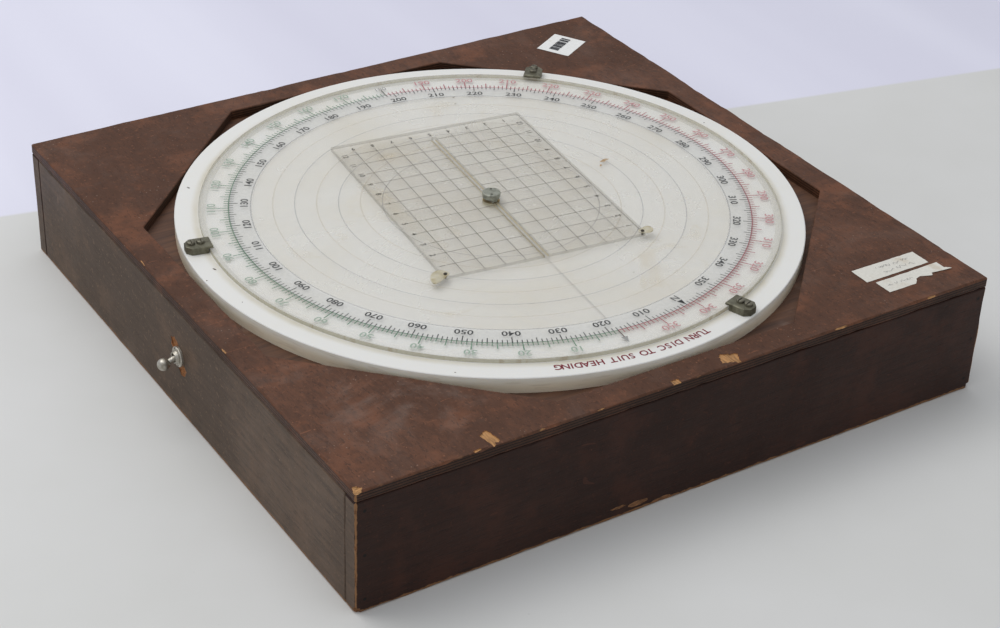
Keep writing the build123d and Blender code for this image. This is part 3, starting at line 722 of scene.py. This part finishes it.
def flake(centre, size, turn, seed):
    """Flat cutter with splintered ends, as where a strip of veneer has lifted. Sizes are half-extents."""
    rng = random.Random(seed)
    bm = bmesh.new()
    corners = [Vector(c) for c in ((-1.0, -1.0), (1.0, -0.8), (1.0, 1.0), (-1.0, 0.8))]
    outline = []
    for start, end in zip(corners, corners[1:] + corners[:1]):
        for i in range(7):
            point = start.lerp(end, i / 7)
            jitter = 0.30 if abs(end.x - start.x) > 1.0 else 0.06
            across = point.x + rng.uniform(-0.08, 0.08)
            outline.append(Vector((across, point.y + rng.uniform(-jitter, jitter) * 0.6)))
    spin = Matrix.Rotation(turn, 3, "Z")
    rings = []
    for z in (-size[2], size[2] + 2 * MM):
        points = [spin @ Vector((p.x * size[0], p.y * size[1], z)) + Vector(centre) for p in outline]
        rings.append([bm.verts.new(point) for point in points])
    bridge(bm, *rings)
    bm.faces.new(rings[0][::-1])
    bm.faces.new(rings[1])
    return bm


def carve(target, cutters, material):
    """Subtracts each cutter from the target mesh, leaving the cut faces in the given material."""
    for bm in cutters:
        tool = add("cutter", mesh_of("cutter", bm))
        tool.data.materials.append(material)
        modifier = target.modifiers.new("carve", "BOOLEAN")
        modifier.operation = "DIFFERENCE"
        modifier.solver = "EXACT"
        modifier.material_mode = "TRANSFER"
        modifier.object = tool
        graph = bpy.context.evaluated_depsgraph_get()
        mesh = bpy.data.meshes.new_from_object(target.evaluated_get(graph), depsgraph=graph)
        target.modifiers.remove(modifier)
        target.data = mesh
        bpy.data.objects.remove(tool)


def hole(radius, start, end):
    """Round cutter between two points."""
    bm = bmesh.new()
    start, end = Vector(start), Vector(end)
    bmesh.ops.create_cone(bm, cap_ends=True, segments=32, radius1=radius, radius2=radius,
                          depth=(end - start).length)
    turn = (end - start).to_track_quat("Z", "Y").to_matrix().to_4x4()
    bm.transform(Matrix.Translation((start + end) / 2) @ turn)
    return bm


NAIL_HOLE_R = 1.94 * MM
INLET_HOLE = (6.0 * MM, 0.09, 0.0385)             # radius, y and z in the left board
SWITCH_HOLE = (4.1 * MM, 0.0048, 0.0385)          # the same in the right board
BARE = bare_wood("bare_wood_break")
BARE_TOP = bare_wood("bare_veneer_break", (0.44, 0.225, 0.082), 0.75, (900.0, 130.0, 900.0))
# Near-black walls for the nail seats and the inlet and switch holes: painted shade inside the holes.
NAIL_HOLE = bare_wood("painted_shade_in_holes", (0.010, 0.006, 0.004), 0.9)


def nail_holes(side):
    """Seats of the nail heads in the front or rear board."""
    y = side * HALF
    x = HALF - WALL / 2
    return [hole(NAIL_HOLE_R, (sx * x, y + side * MM, z), (sx * x, y - side * 0.9 * MM, z))
            for sx in (-1, 1) for z in NAIL_LEVELS]


def cutters(shape, places, first_seed=0):
    """Cutters of one shape from rows of centre, half-extents and turn, in millimetres and degrees."""
    return [shape([v * MM for v in centre], [v * MM for v in size], math.radians(turn), first_seed + i)
            for i, (centre, size, turn) in enumerate(places)]


TOP = TOP_Z / MM
EDGE = HALF / MM
TOP_FLAKES = [
    ((123.9, EDGE - 7.0, TOP), (2.9, 6.0, 0.45), 8),
    ((-23.9, EDGE - 5.6, TOP), (5.2, 4.4, 0.45), -24),
    ((134.6, EDGE - 0.6, TOP), (2.2, 1.2, 0.5), 5),
    ((14.0, EDGE - 1.2, TOP), (2.4, 2.6, 0.45), -8),
]
TOP_CHIPS = [
    ((EDGE - 0.6, EDGE - 1.2, TOP + 0.2), (3.8, 3.4, 1.5), 30),
    ((EDGE, 62.0, TOP + 0.2), (0.8, 4.0, 0.7), 0),
    ((EDGE, 118.0, TOP + 0.2), (0.7, 6.0, 0.6), 0),
    ((EDGE, -40.0, TOP + 0.2), (0.9, 5.0, 0.8), 0),
    ((97.0, EDGE, TOP), (2.2, 0.8, 0.8), 0),
    ((62.0, EDGE, TOP + 0.1), (3.6, 0.7, 0.6), 0),
    ((-96.0, EDGE, TOP), (5.0, 0.9, 0.8), 0),
    ((-160.0, EDGE, TOP), (4.0, 1.0, 0.9), 0),
    ((-EDGE, -70.0, TOP), (1.4, 12.0, 1.3), 0),
    ((40.0, -EDGE, TOP), (10.0, 1.5, 1.4), 0),
]
REAR_CHIPS = [
    ((33.5, EDGE, 5.0), (6.0, 0.6, 1.5), 0),
    ((46.0, EDGE, 6.6), (5.0, 0.5, 0.8), 0),
    ((18.0, EDGE, 1.6), (7.0, 0.8, 1.8), 0),
    ((EDGE, EDGE, 1.4), (2.8, 2.6, 3.0), 0),
    ((EDGE, EDGE, 41.0), (0.9, 1.0, 2.0), 0),
    ((EDGE, EDGE, 63.0), (0.9, 0.9, 2.6), 0),
    ((EDGE, EDGE, 22.0), (0.8, 0.8, 4.0), 0),
    ((-EDGE, EDGE, 1.0), (2.6, 2.6, 3.0), 0),
]
RIGHT_CHIPS = [
    ((EDGE, -0.4, 43.2), (1.0, 5.0, 4.4), 0),
    ((EDGE, 7.6, 31.8), (0.9, 4.8, 3.9), 0),
]


def build_case():
    """The five visible wooden pieces of the case, in place of their plain CAD solids."""
    # darker bare wood for the chips in the rear board: painted shade of the dim +Y face
    shaded_bare = bare_wood("bare_wood_with_painted_shade", (0.27, 0.125, 0.05))
    split = bare_wood("bare_wood_split", (0.38, 0.15, 0.045))
    # the far and near boards' stain has the shade of the +Y face painted in
    dark = stained_plywood("stain_with_painted_shade_far_and_near_boards", "x", SHADED_STAIN)
    # the side boards' stain has the sheen of grazing light painted in
    grey = stained_plywood("stain_with_painted_sheen_side_boards", "y", SHEEN_GREY_STAIN, scratched=0.25, blotchy=0.30)
    top_stain = stained_plywood("stain_top_panel", "top", TOP_STAIN, dusty=0.15, laminated=True)
    inlet_r, inlet_y, inlet_z = INLET_HOLE
    switch_r, switch_y, switch_z = SWITCH_HOLE
    inlet = hole(inlet_r, (-HALF - MM, inlet_y, inlet_z), (-HALF + WALL + MM, inlet_y, inlet_z))
    switch = hole(switch_r, (HALF + MM, switch_y, switch_z), (HALF - WALL - MM, switch_y, switch_z))
    rear_chips = cutters(chip, REAR_CHIPS, CHIP_SEED)
    right_chips = cutters(chip, RIGHT_CHIPS, CHIP_SEED)
    jobs = [
        ("case_rear_board", "rear_board", [dark, grey], 1.3, rear_chips, nail_holes(1)),
        ("case_front_board", "front_board", [dark, grey], 2.6, [], nail_holes(-1)),
        ("case_left_board", "left_board", [grey], 3.9, [], [inlet]),
        ("case_right_board", "right_board", [grey], 5.2, right_chips, [switch]),
    ]
    for name, node, stains, seed, chips, holes in jobs:
        low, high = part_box(node)
        bm = worn_block(low, high, seed)
        bm.normal_update()
        for face in bm.faces:                      # the end of a far or near board shows on the side
            face.material_index = 1 if len(stains) > 1 and abs(face.normal.x) > 0.9 else 0
        board = piece(name, bm, stains, "case", "stained_plywood")
        # chips in the rear board show the darker bare wood, with painted shade
        carve(board, chips, shaded_bare if node == "rear_board" else split)
        # the holes' walls are near-black: painted shade
        carve(board, holes, NAIL_HOLE)
        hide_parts(node)
    bm = worn_panel(PANEL_LOW, PANEL_HIGH, OCTAGON_INRADIUS, 6.5)
    panel = piece("case_top_panel", bm, [top_stain], "case", "stained_plywood")
    carve(panel, cutters(chip, TOP_CHIPS, CHIP_SEED), BARE)
    carve(panel, cutters(flake, TOP_FLAKES), BARE_TOP)
    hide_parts("top_panel")


# ---- dial markings
def degree_ticks(sheet, zero, bearings, radius, direction, lengths, widths):
    """One tick a degree; lengths and widths are for 1, 5 and 10 degrees."""
    for degree in bearings:
        kind = 2 if degree % 10 == 0 else 1 if degree % 5 == 0 else 0
        reach = radius + direction * lengths[kind]
        sheet.tick(zero + math.radians(degree), min(radius, reach), max(radius, reach), widths[kind])


def relative_scale(side, degrees, tick_ink, number_ink):
    """Half of the relative-bearing scale: baseline, ticks outwards and a number every ten degrees."""
    sheet, numbers = InkSheet(RELATIVE_Z), InkSheet(RELATIVE_Z)
    lengths = (3.0 * MM, 5.6 * MM, 7.4 * MM)
    widths = (0.62 * MM, 0.66 * MM, 0.70 * MM)
    degree_ticks(sheet, DIAL_TURN, degrees, SCALE_R, 1, lengths, widths)
    ends = [DIAL_TURN + math.radians(degree) for degree in (min(degrees), max(degrees))]
    sheet.arc(SCALE_R, 0.8 * MM, *ends)
    for degree in degrees:
        if degree % 10 == 0 and degree % 180:
            numbers.text_at(str(degree), SCALE_R + 9.8 * MM, DIAL_TURN + math.radians(degree), 7.0 * MM,
                            stretch=1.08, bold=0.10 * MM)
    sheet.finish("marks_relative_" + side, tick_ink, *ON_BASE)
    numbers.finish("numbers_relative_" + side, number_ink, *ON_BASE)


def build_relative_marks():
    """Everything printed on the base disc."""
    grey = ink("heading_grey", (0.19, 0.195, 0.20), alpha=0.80)
    relative_scale("starboard", range(0, 181), ink("scale_green", (0.10, 0.23, 0.145)),
                   ink("number_green", (0.30, 0.40, 0.32)))
    relative_scale("port", range(180, 361), ink("scale_red", (0.38, 0.070, 0.10)),
                   ink("number_red", (0.53, 0.24, 0.26)))
    heading = InkSheet(RELATIVE_Z - 0.1 * MM)
    heading.bar((0, 0), polar(COMPASS_INNER_R, DIAL_TURN), 0.48 * MM)
    tip = SCALE_R + 12.0 * MM
    foot = tip - 5.2 * MM
    heading.arrow(DIAL_TURN, foot, tip)
    heading.bar(polar(SCALE_R, DIAL_TURN), polar(foot, DIAL_TURN), 0.6 * MM)
    heading.text_at("180", SCALE_R + 9.2 * MM, DIAL_TURN + math.pi, 6.0 * MM, stretch=0.92)
    heading.finish("marks_heading_line", grey, *ON_BASE)
    legend = InkSheet(BASE_TOP + 0.06 * MM)
    words = "TURN DISC TO SUIT HEADING"
    widths = [{" ": 0.8, "I": 0.7}.get(letter, 1.0) for letter in words]
    passed = 0.0
    for letter, width in zip(words, widths):
        bearing = LEGEND_FROM + (LEGEND_TO - LEGEND_FROM) * (passed + width / 2) / sum(widths)
        passed += width
        if letter != " ":
            legend.text_at(letter, LEGEND_R, bearing, 6.6 * MM, stretch=0.96, bold=0.13 * MM)
    legend.finish("marks_legend", ink("legend_red", (0.20, 0.025, 0.035)), *ON_BASE)


def build_compass_marks():
    """Everything printed on the plotting disc."""
    veil = InkSheet(COMPASS_Z - 0.09 * MM)
    veil.arc((PLOT_R - 0.6 * MM) / 2, PLOT_R - 0.6 * MM)
    veil.finish("plotting_haze", cloudy_veil(), *ON_DISC)
    white = ink("compass_band_white", (0.80, 0.80, 0.775), alpha=0.42, uneven=0.1)
    black = ink("compass_black", (0.045, 0.046, 0.048))
    band = InkSheet(COMPASS_Z - 0.06 * MM)
    band.arc((SCALE_R + COMPASS_INNER_R) / 2, SCALE_R - COMPASS_INNER_R - 0.4 * MM)
    band.finish("marks_compass_band", white, *ON_DISC)
    scale = InkSheet(COMPASS_Z)
    lengths = (2.7 * MM, 4.2 * MM, 5.2 * MM)
    widths = (0.52 * MM, 0.56 * MM, 0.60 * MM)
    degree_ticks(scale, COMPASS_TURN, range(360), SCALE_R, -1, lengths, widths)
    for degree in range(10, 360, 10):
        scale.text_at(f"{degree:03d}", COMPASS_NUMBER_R, COMPASS_TURN + math.radians(degree), 6.2 * MM,
                      stretch=1.12, bold=0.10 * MM)
    scale.text_at("N", COMPASS_NUMBER_R, COMPASS_TURN, 6.2 * MM, bold=0.06 * MM)
    scale.arrow(COMPASS_TURN, *COMPASS_ARROW)
    scale.finish("marks_compass_scale", black, *ON_DISC)
    grey = ink("ring_grey", (0.27, 0.28, 0.31), alpha=0.30, uneven=0.2)
    tan = ink("ring_tan", (0.50, 0.38, 0.22), alpha=0.17, uneven=0.3)
    odd, even = InkSheet(COMPASS_Z), InkSheet(COMPASS_Z)
    odd.arc(COMPASS_INNER_R, 0.8 * MM)
    for count in range(5, 11):
        (odd if count % 2 else even).arc(count * RING_STEP, 0.62 * MM if count % 2 else 0.75 * MM)
    odd.finish("marks_range_rings_grey", grey, *ON_DISC)
    even.finish("marks_range_rings_tan", tan, *ON_DISC)


def smudge(sheet, at, length, width, turn, rng):
    """Small ragged stain."""
    points = []
    count = 11
    for i in range(count):
        angle = 2 * math.pi * i / count
        swell = rng.uniform(0.65, 1.15)
        point = Vector((math.cos(angle) * length / 2 * swell, math.sin(angle) * width / 2 * swell))
        points.append(Vector(at[:2]) + Matrix.Rotation(turn, 2) @ point)
    sheet.polygon(points)


RIM_SPECKS = (                       # bearing in degrees, share of UNIT, length and width in mm
    (93.5, 0.853, 3.0, 1.0), (90.5, 0.895, 1.2, 0.9), (125.0, 0.875, 2.6, 1.2),
    (81.0, 0.872, 1.0, 0.6), (262.0, 0.868, 1.2, 0.7), (38.0, 0.886, 1.3, 0.6),
)


def build_stains():
    """Specks on the base disc's rim and stains on the plotting disc."""
    rng = random.Random(5)
    dirt = ink("dirt_speck", (0.10, 0.075, 0.05), alpha=0.85)
    brown = ink("brown_stain", (0.36, 0.21, 0.07), alpha=0.8)
    rim = InkSheet(BASE_TOP + 0.05 * MM)
    for bearing, share, length, width in RIM_SPECKS:
        turn = rng.uniform(0, 3)
        smudge(rim, polar(share * UNIT, math.radians(bearing)), length * MM, width * MM, turn, rng)
    rim.finish("rim_specks", dirt, *ON_BASE)
    face = InkSheet(PLOT_HIGH.z + 0.02 * MM)
    smudge(face, polar(0.668 * UNIT, math.radians(202)), 2.4 * MM, 1.1 * MM, 0.4, rng)
    turn = Matrix.Rotation(-PLATE_TURN, 2)
    for x, y, length, width in ((-37, 105, 1.5, 0.6), (-34, -122, 1.6, 0.9)):
        smudge(face, turn @ Vector((x * MM, y * MM)), length * MM, width * MM, rng.uniform(0, 3), rng)
    face.finish("disc_specks", dirt, *ON_DISC)
    stain = InkSheet(PLOT_HIGH.z + 0.02 * MM)
    smudge(stain, turn @ Vector((-85 * MM, -18 * MM)), 8.0 * MM, 2.6 * MM, 0.25, rng)
    smudge(stain, turn @ Vector((-80 * MM, -13 * MM)), 3.0 * MM, 1.2 * MM, 0.9, rng)
    stain.finish("disc_stain", brown, *ON_DISC)


# ---- cursor plate markings
COLUMNS, ROWS = 10, 13
PLATE_WIDTH = COLUMNS * RING_STEP
PLATE_FAR = 72.1 * MM
PLATE_NEAR = PLATE_FAR - ROWS * RING_STEP
SLOT_END = -82.0 * MM
SLOT_HALF = 1.6 * MM
ROW_LINE = 0.42 * MM
COLUMN_LINE = 0.32 * MM
GRADUATION = 0.2 * MM


def build_cursor_marks():
    """Squares, edge graduations and numbers on the cursor plate."""
    turn = Matrix.Rotation(-PLATE_TURN, 4, "Z")
    grey = ink("cursor_ink", (0.045, 0.043, 0.036), uneven=0.15)
    dark = ink("cursor_numbers", (0.014, 0.014, 0.013), uneven=0.05)
    z = PLATE_Z + 0.9 * MM
    half = PLATE_WIDTH / 2
    lines = InkSheet(z)
    row_end = half - 7.4 * MM
    for row in range(1, ROWS):
        y = PLATE_FAR - row * RING_STEP
        if y > SLOT_END:
            lines.bar((-row_end, y), (-SLOT_HALF, y), ROW_LINE)
            lines.bar((SLOT_HALF, y), (row_end, y), ROW_LINE)
    for column in range(1, COLUMNS):
        x = -half + column * RING_STEP
        if abs(x) > SLOT_HALF:
            lines.bar((x, PLATE_NEAR + 9.4 * MM), (x, PLATE_FAR - 0.8 * MM), COLUMN_LINE)
    tenth = RING_STEP / 10
    side_end, near_end = half - 0.4 * MM, PLATE_NEAR + 0.4 * MM
    for step in range(1, ROWS * 10):
        y = PLATE_FAR - step * tenth
        reach = 2.6 * MM if step % 10 == 0 else 1.9 * MM if step % 5 == 0 else 1.2 * MM
        for side in (-1, 1):
            lines.bar((side * side_end, y), (side * (side_end - reach), y), GRADUATION)
    for step in range(1, COLUMNS * 10):
        x = -half + step * tenth
        reach = 2.4 * MM if step % 10 == 0 else 1.2 * MM
        lines.bar((x, near_end), (x, near_end + reach), GRADUATION)
    left_rule = -half + 0.9 * MM
    lines.bar((left_rule, PLATE_NEAR), (left_rule, PLATE_FAR), 0.25 * MM)
    lines.bm.transform(turn)
    lines.finish("marks_cursor_squares", grey, *ON_CURSOR)
    numbers = InkSheet(z + 0.02 * MM)
    for row in range(1, ROWS):
        y = PLATE_FAR - row * RING_STEP
        for side in (-1, 1):
            at = Matrix.Translation((side * (half - 4.6 * MM), y, numbers.z))
            quarter = Matrix.Rotation(side * math.pi / 2, 4, "Z")
            numbers.text(str(row), at @ quarter, 4.9 * MM, stretch=0.9, bold=0.10 * MM)
    for column in range(1, COLUMNS):
        x = -half + column * RING_STEP
        at = Matrix.Translation((x, PLATE_NEAR + 5.6 * MM, numbers.z))
        numbers.text(str(column), at, 4.6 * MM, stretch=0.9, bold=0.08 * MM)
    numbers.bm.transform(turn)
    numbers.finish("marks_cursor_numbers", dark, *ON_CURSOR)
    # tan strips along both edges of the slot
    tan = ink("slot_edge_tan", (0.43, 0.36, 0.22), alpha=0.72)
    stain = InkSheet(PLATE_Z + 0.05 * MM)
    for side, width in ((-1, 1.3 * MM), (1, 1.0 * MM)):
        x = side * (SLOT_HALF - width / 4)
        stain.bar((x, SLOT_END + MM), (x, PLATE_FAR - MM), width)
    stain.bm.transform(turn)
    stain.finish("marks_slot_edge_tan", tan, *ON_CURSOR)


# ---- papers on the top
PAPER = 0.05 * MM                    # thickness of a sheet
STICKER_TURN = math.radians(30)


def torn_sheet(corners, ragged, seed, lift, z, bites=()):
    """Thin sheet with ragged edges, curling up at one corner. corners run anticlockwise.

    Each bite is a centre and a radius where the paper has been torn away.
    """
    rng = random.Random(seed)
    bm = bmesh.new()
    outline = []
    for start, end in zip(corners, corners[1:] + corners[:1]):
        start, end = Vector(start), Vector(end)
        steps = max(3, int((end - start).length / (1.5 * MM)))
        for i in range(steps):
            point = start.lerp(end, i / steps)
            for middle, radius in bites:
                away = point - Vector(middle)
                if away.length < radius:
                    point = Vector(middle) + away.normalized() * radius * rng.uniform(0.97, 1.03)
            outline.append(point + Vector((rng.uniform(-1, 1), rng.uniform(-1, 1))) * ragged)
    centre = sum(outline, Vector((0, 0))) / len(outline)
    rings = []
    for share in (1.0, 0.92, 0.8, 0.6, 0.35):
        ring = []
        for point in outline:
            at = centre.lerp(point, share)
            curl = max(0.0, (at - centre).dot(Vector(lift[:2]).normalized()) / (20 * MM)) ** 2 * lift[2]
            wave = 0.10 * MM * (1 + noise.noise(Vector((at.x * 150, at.y * 150, seed))))
            ring.append(bm.verts.new((at.x, at.y, z + 0.06 * MM + curl + wave * share)))
        rings.append(ring)
    for outer, inner in zip(rings, rings[1:]):
        bridge(bm, outer, inner)
    bm.faces.new(rings[-1])
    bmesh.ops.recalc_face_normals(bm, faces=bm.faces[:])
    face_up(bm.faces)
    for vert in thicken(bm):
        vert.co.z -= PAPER
    bmesh.ops.recalc_face_normals(bm, faces=bm.faces[:])
    return bm


def scribble(sheet, start, length, height, rng, width):
    """An illegible line of handwriting: one wavering stroke, broken here and there."""
    x, y = start
    run = []
    while x < start[0] + length:
        run.append((x, y + rng.uniform(-0.5, 0.5) * height))
        x += rng.uniform(0.35, 0.9) * MM
        if rng.random() < 0.13 and len(run) > 2:
            sheet.stroke(run, width)
            run = []
            x += 1.2 * MM
    if len(run) > 1:
        sheet.stroke(run, width)


def build_papers():
    """Two hand-written strips and a small barred sticker."""
    rng = random.Random(11)
    pale = paper_material("paper_strip", (0.72, 0.70, 0.63))
    white = paper_material("paper_sticker_face", (0.82, 0.82, 0.80))
    pen = ink("pen_ink", (0.16, 0.16, 0.17), alpha=0.6)
    z = TOP_Z
    tear = [((-171.5 * MM, 192.5 * MM), 9.5 * MM), ((-184.0 * MM, 191.0 * MM), 9.0 * MM)]
    strips = (("label_far", "label_strip_far", 21, 0.12 * MM, (-1.0, 0.3, 0.4 * MM), tear),
              ("label_near", "label_strip_near", 22, 0.12 * MM, (0.4, -1.0, 0.3 * MM), ()))
    for name, node, seed, ragged, lift, bites in strips:
        low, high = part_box(node)
        inset = 0.2 * MM
        corners = [(low.x + inset, low.y + inset), (high.x - inset, low.y + inset),
                   (high.x - inset, high.y - inset), (low.x + inset, high.y - inset)]
        sheet = piece(name, torn_sheet(corners, ragged, seed, lift, z, bites), [pale], *ON_PAPER)
        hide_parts(node)
    marks = InkSheet(z + 0.42 * MM)
    low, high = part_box("label_strip_near")
    for line in (0.34, 0.7):
        start = (low.x + 8 * MM, low.y + line * (high.y - low.y))
        scribble(marks, start, 24 * MM, 2.6 * MM, rng, 0.28 * MM)
    low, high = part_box("label_strip_far")
    scribble(marks, (high.x - 22 * MM, (low.y + high.y) / 2), 18 * MM, 2.2 * MM, rng, 0.25 * MM)
    marks.finish("label_scribbles", pen, *ON_PAPER)
    low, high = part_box("paper_sticker")
    centre = (low + high) / 2
    along = Vector((math.cos(STICKER_TURN), math.sin(STICKER_TURN)))
    across = Vector((-along.y, along.x))
    corner = [centre.xy + along * sx * 13.7 * MM + across * sy * 11.7 * MM for sx, sy in SQUARE]
    sheet = piece("sticker", torn_sheet(corner, 0.06 * MM, 23, (1, 1, 0.1 * MM), z), [white], *ON_PAPER)
    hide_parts("paper_sticker")
    bars = InkSheet(z + 0.40 * MM)
    x = -9.5 * MM
    while x < 9.5 * MM:
        width = rng.choice((0.5, 0.9, 1.4)) * MM
        start = centre.xy + along * x
        bars.bar(start - across * 4.6 * MM, start + across * 2.0 * MM, width)
        x += width + rng.choice((0.5, 0.8)) * MM
    bars.finish("sticker_bars", ink("sticker_black", (0.03, 0.03, 0.035)), *ON_PAPER)


# ---- carried-over CAD pieces
def shade_cad_nodes():
    """Materials for the CAD nodes that stay as they are."""
    shade(shelf_wood(), "recess_shelf")
    raw = bare_wood("raw_softwood", (0.50, 0.34, 0.18), 0.75)
    shade(raw, "bottom_panel", "corner_blocks", "bottom_battens", "shelf_battens")
    steel = metal("dull_steel", (0.10, 0.07, 0.05), (0.30, 0.28, 0.26), 0.5)
    shade(steel, "bottom_screws", "holder_screws")
    shade(nail_heads(), "corner_nails")
    shade(moulded("black_rubber", (0.02, 0.02, 0.02), 0.6), "inlet_grommet")
    shade(moulded("brown_bakelite", (0.045, 0.022, 0.014), 0.3), "lamp_holder_left", "lamp_holder_right",
          "terminal_block", "switch_body")
    shade(metal("tarnished_brass", (0.30, 0.20, 0.08), (0.62, 0.47, 0.22), 0.35), "lamp_socket_left",
          "lamp_socket_right", "bulb_cap_left", "bulb_cap_right", "terminal_screws", "switch_terminals",
          "pivot_stud", "stud_screws")
    shade(glass_bulb(), "bulb_glass_left", "bulb_glass_right")
    shade(moulded("wire_insulation_brown", (0.08, 0.03, 0.02), 0.5), "supply_wire", "switched_wire",
          "link_wire", "return_wire")
    nickel = metal("worn_nickel", (0.33, 0.30, 0.24), (0.60, 0.575, 0.52), 0.36, scale=420.0)
    shade(nickel, "switch_bushing", "switch_ring_nut", "switch_back_nut", "switch_pivot_pin", "switch_lever")
    shade(opal_acrylic(), "base_disc")
    shade(matt_acrylic(), "plotting_disc")
    shade(clear_acrylic(), "cursor_plate")
    shade(celluloid(), "tab_left", "tab_right")
    olive = metal("olive_brass_tarnish", (0.090, 0.085, 0.058), (0.215, 0.205, 0.145), 0.40, metallic=0.55,
                  scale=230.0)
    shade(olive, "clip_right", "clip_left", "clip_top")
    screw = metal("clip_screw_metal", (0.12, 0.11, 0.08), (0.24, 0.225, 0.17), 0.36, metallic=0.7,
                  scale=300.0)
    shade(screw, "clip_screws")
    shade(metal("tab_pin_black", (0.02, 0.017, 0.012), (0.07, 0.055, 0.04), 0.5, metallic=0.6), "tab_pins")
    oxide = metal("grey_oxide", (0.20, 0.205, 0.17), (0.42, 0.43, 0.36), 0.42, metallic=0.5, scale=380.0,
                  pits=0.3)
    shade(oxide, "tongued_washer", "clamp_screw")


# ---- room, light and camera
TABLE_REACH = 3.0
# two points of the line on the table where the backdrop sheet begins
BACKDROP_FROM, BACKDROP_TO = Vector((0.2073, -0.2541, 0.0)), Vector((-0.5250, -0.1109, 0.0))
CAMERA_AT, CAMERA_AIM = Vector((0.5864, 0.8973, 0.6705)), Vector((0.0605, 0.1054, 0.0772))
CAMERA_LENS, CAMERA_ROLL = 75.28, math.radians(2.337)


def build_room():
    """Pale table running out under a lavender backdrop sheet that starts behind the object."""
    s = Shader("pale_floor", Specular_IOR_Level=0.2)
    place = s.place()
    along = (BACKDROP_TO - BACKDROP_FROM).normalized()
    outward = Vector((along.y, -along.x, 0.0))
    if outward.y > 0:
        outward = -outward
    past_edge = s.dot(s.move(place, tuple(BACKDROP_FROM)), tuple(outward))
    beyond = s.step(past_edge, -0.002, 0.002)
    smear = s.noise(place, 5.0, 4.0, 0.6)
    dots = s.specks(place, 70.0, 0.045, 0.02, 9.0, 0.56, 0.62)
    table = s.ramp(smear, (0.3, (0.655, 0.655, 0.63)), (0.7, (0.70, 0.70, 0.685)))
    table = s.mix(s.times(dots, 0.4), table, (0.35, 0.33, 0.30))
    # painted shade: the lavender sheet is banded lighter and darker, as folds would shade it
    painted_fold_shade = s.noise(s.stretch(place, (7.0, 0.6, 1.0)), 1.0, 2.0, 0.5)
    cloth = s.ramp(painted_fold_shade, (0.35, (0.70, 0.695, 0.81)), (0.65, (0.78, 0.78, 0.89)))
    s.set("Base Color", s.mix(beyond, table, cloth))
    s.set("Roughness", s.step(smear, 0.3, 0.7, 0.55, 0.7))
    corners = [(x * TABLE_REACH, y * TABLE_REACH, 0) for x, y in SQUARE]
    mesh = bpy.data.meshes.new("floor")
    mesh.from_pydata(corners, [], [(0, 1, 2, 3)])
    mesh.materials.append(s.material)
    made = add("floor", mesh)


def area_light(name, at, size, power, colour):
    """Soft light aimed at the middle of the object."""
    light = bpy.data.lights.new(name, "AREA")
    light.shape = "RECTANGLE"
    light.size, light.size_y = size
    light.energy = power
    light.color = colour
    made = add(name, light)
    made.location = at
    made.rotation_euler = (-Vector(at)).to_track_quat("-Z", "Y").to_euler()


def build_light():
    """Even daylight with a soft window at the near right."""
    world = bpy.data.worlds.new("studio")
    world.use_nodes = True
    sky = world.node_tree.nodes["Background"].inputs
    sky[0].default_value = (0.93, 0.95, 1.0, 1.0)
    sky[1].default_value = 0.54
    bpy.context.scene.world = world
    area_light("window", (0.70, -0.85, 1.85), (1.5, 1.2), 13.0, (1.0, 0.985, 0.965))
    area_light("overhead", (0.35, -0.1, 1.8), (1.8, 1.8), 9.5, (0.97, 0.98, 1.0))
    bpy.context.scene.view_settings.view_transform = "Standard"
    bpy.context.scene.cycles.transparent_max_bounces = 40   # light crosses many thin printed layers


def build_camera():
    """The photographer's place: above the switch-side far corner, looking down at the dial."""
    camera = bpy.data.cameras.new("camera")
    camera.sensor_width = 36.0
    camera.lens = CAMERA_LENS
    made = add("camera", camera)
    turn = (CAMERA_AIM - CAMERA_AT).to_track_quat("-Z", "Y").to_matrix().to_4x4()
    made.matrix_world = Matrix.Translation(CAMERA_AT) @ turn @ Matrix.Rotation(CAMERA_ROLL, 4, "Z")
    bpy.context.scene.camera = made


shade_cad_nodes()
build_case()
build_relative_marks()
build_compass_marks()
build_stains()
build_cursor_marks()
build_papers()
build_room()
build_light()
build_camera()
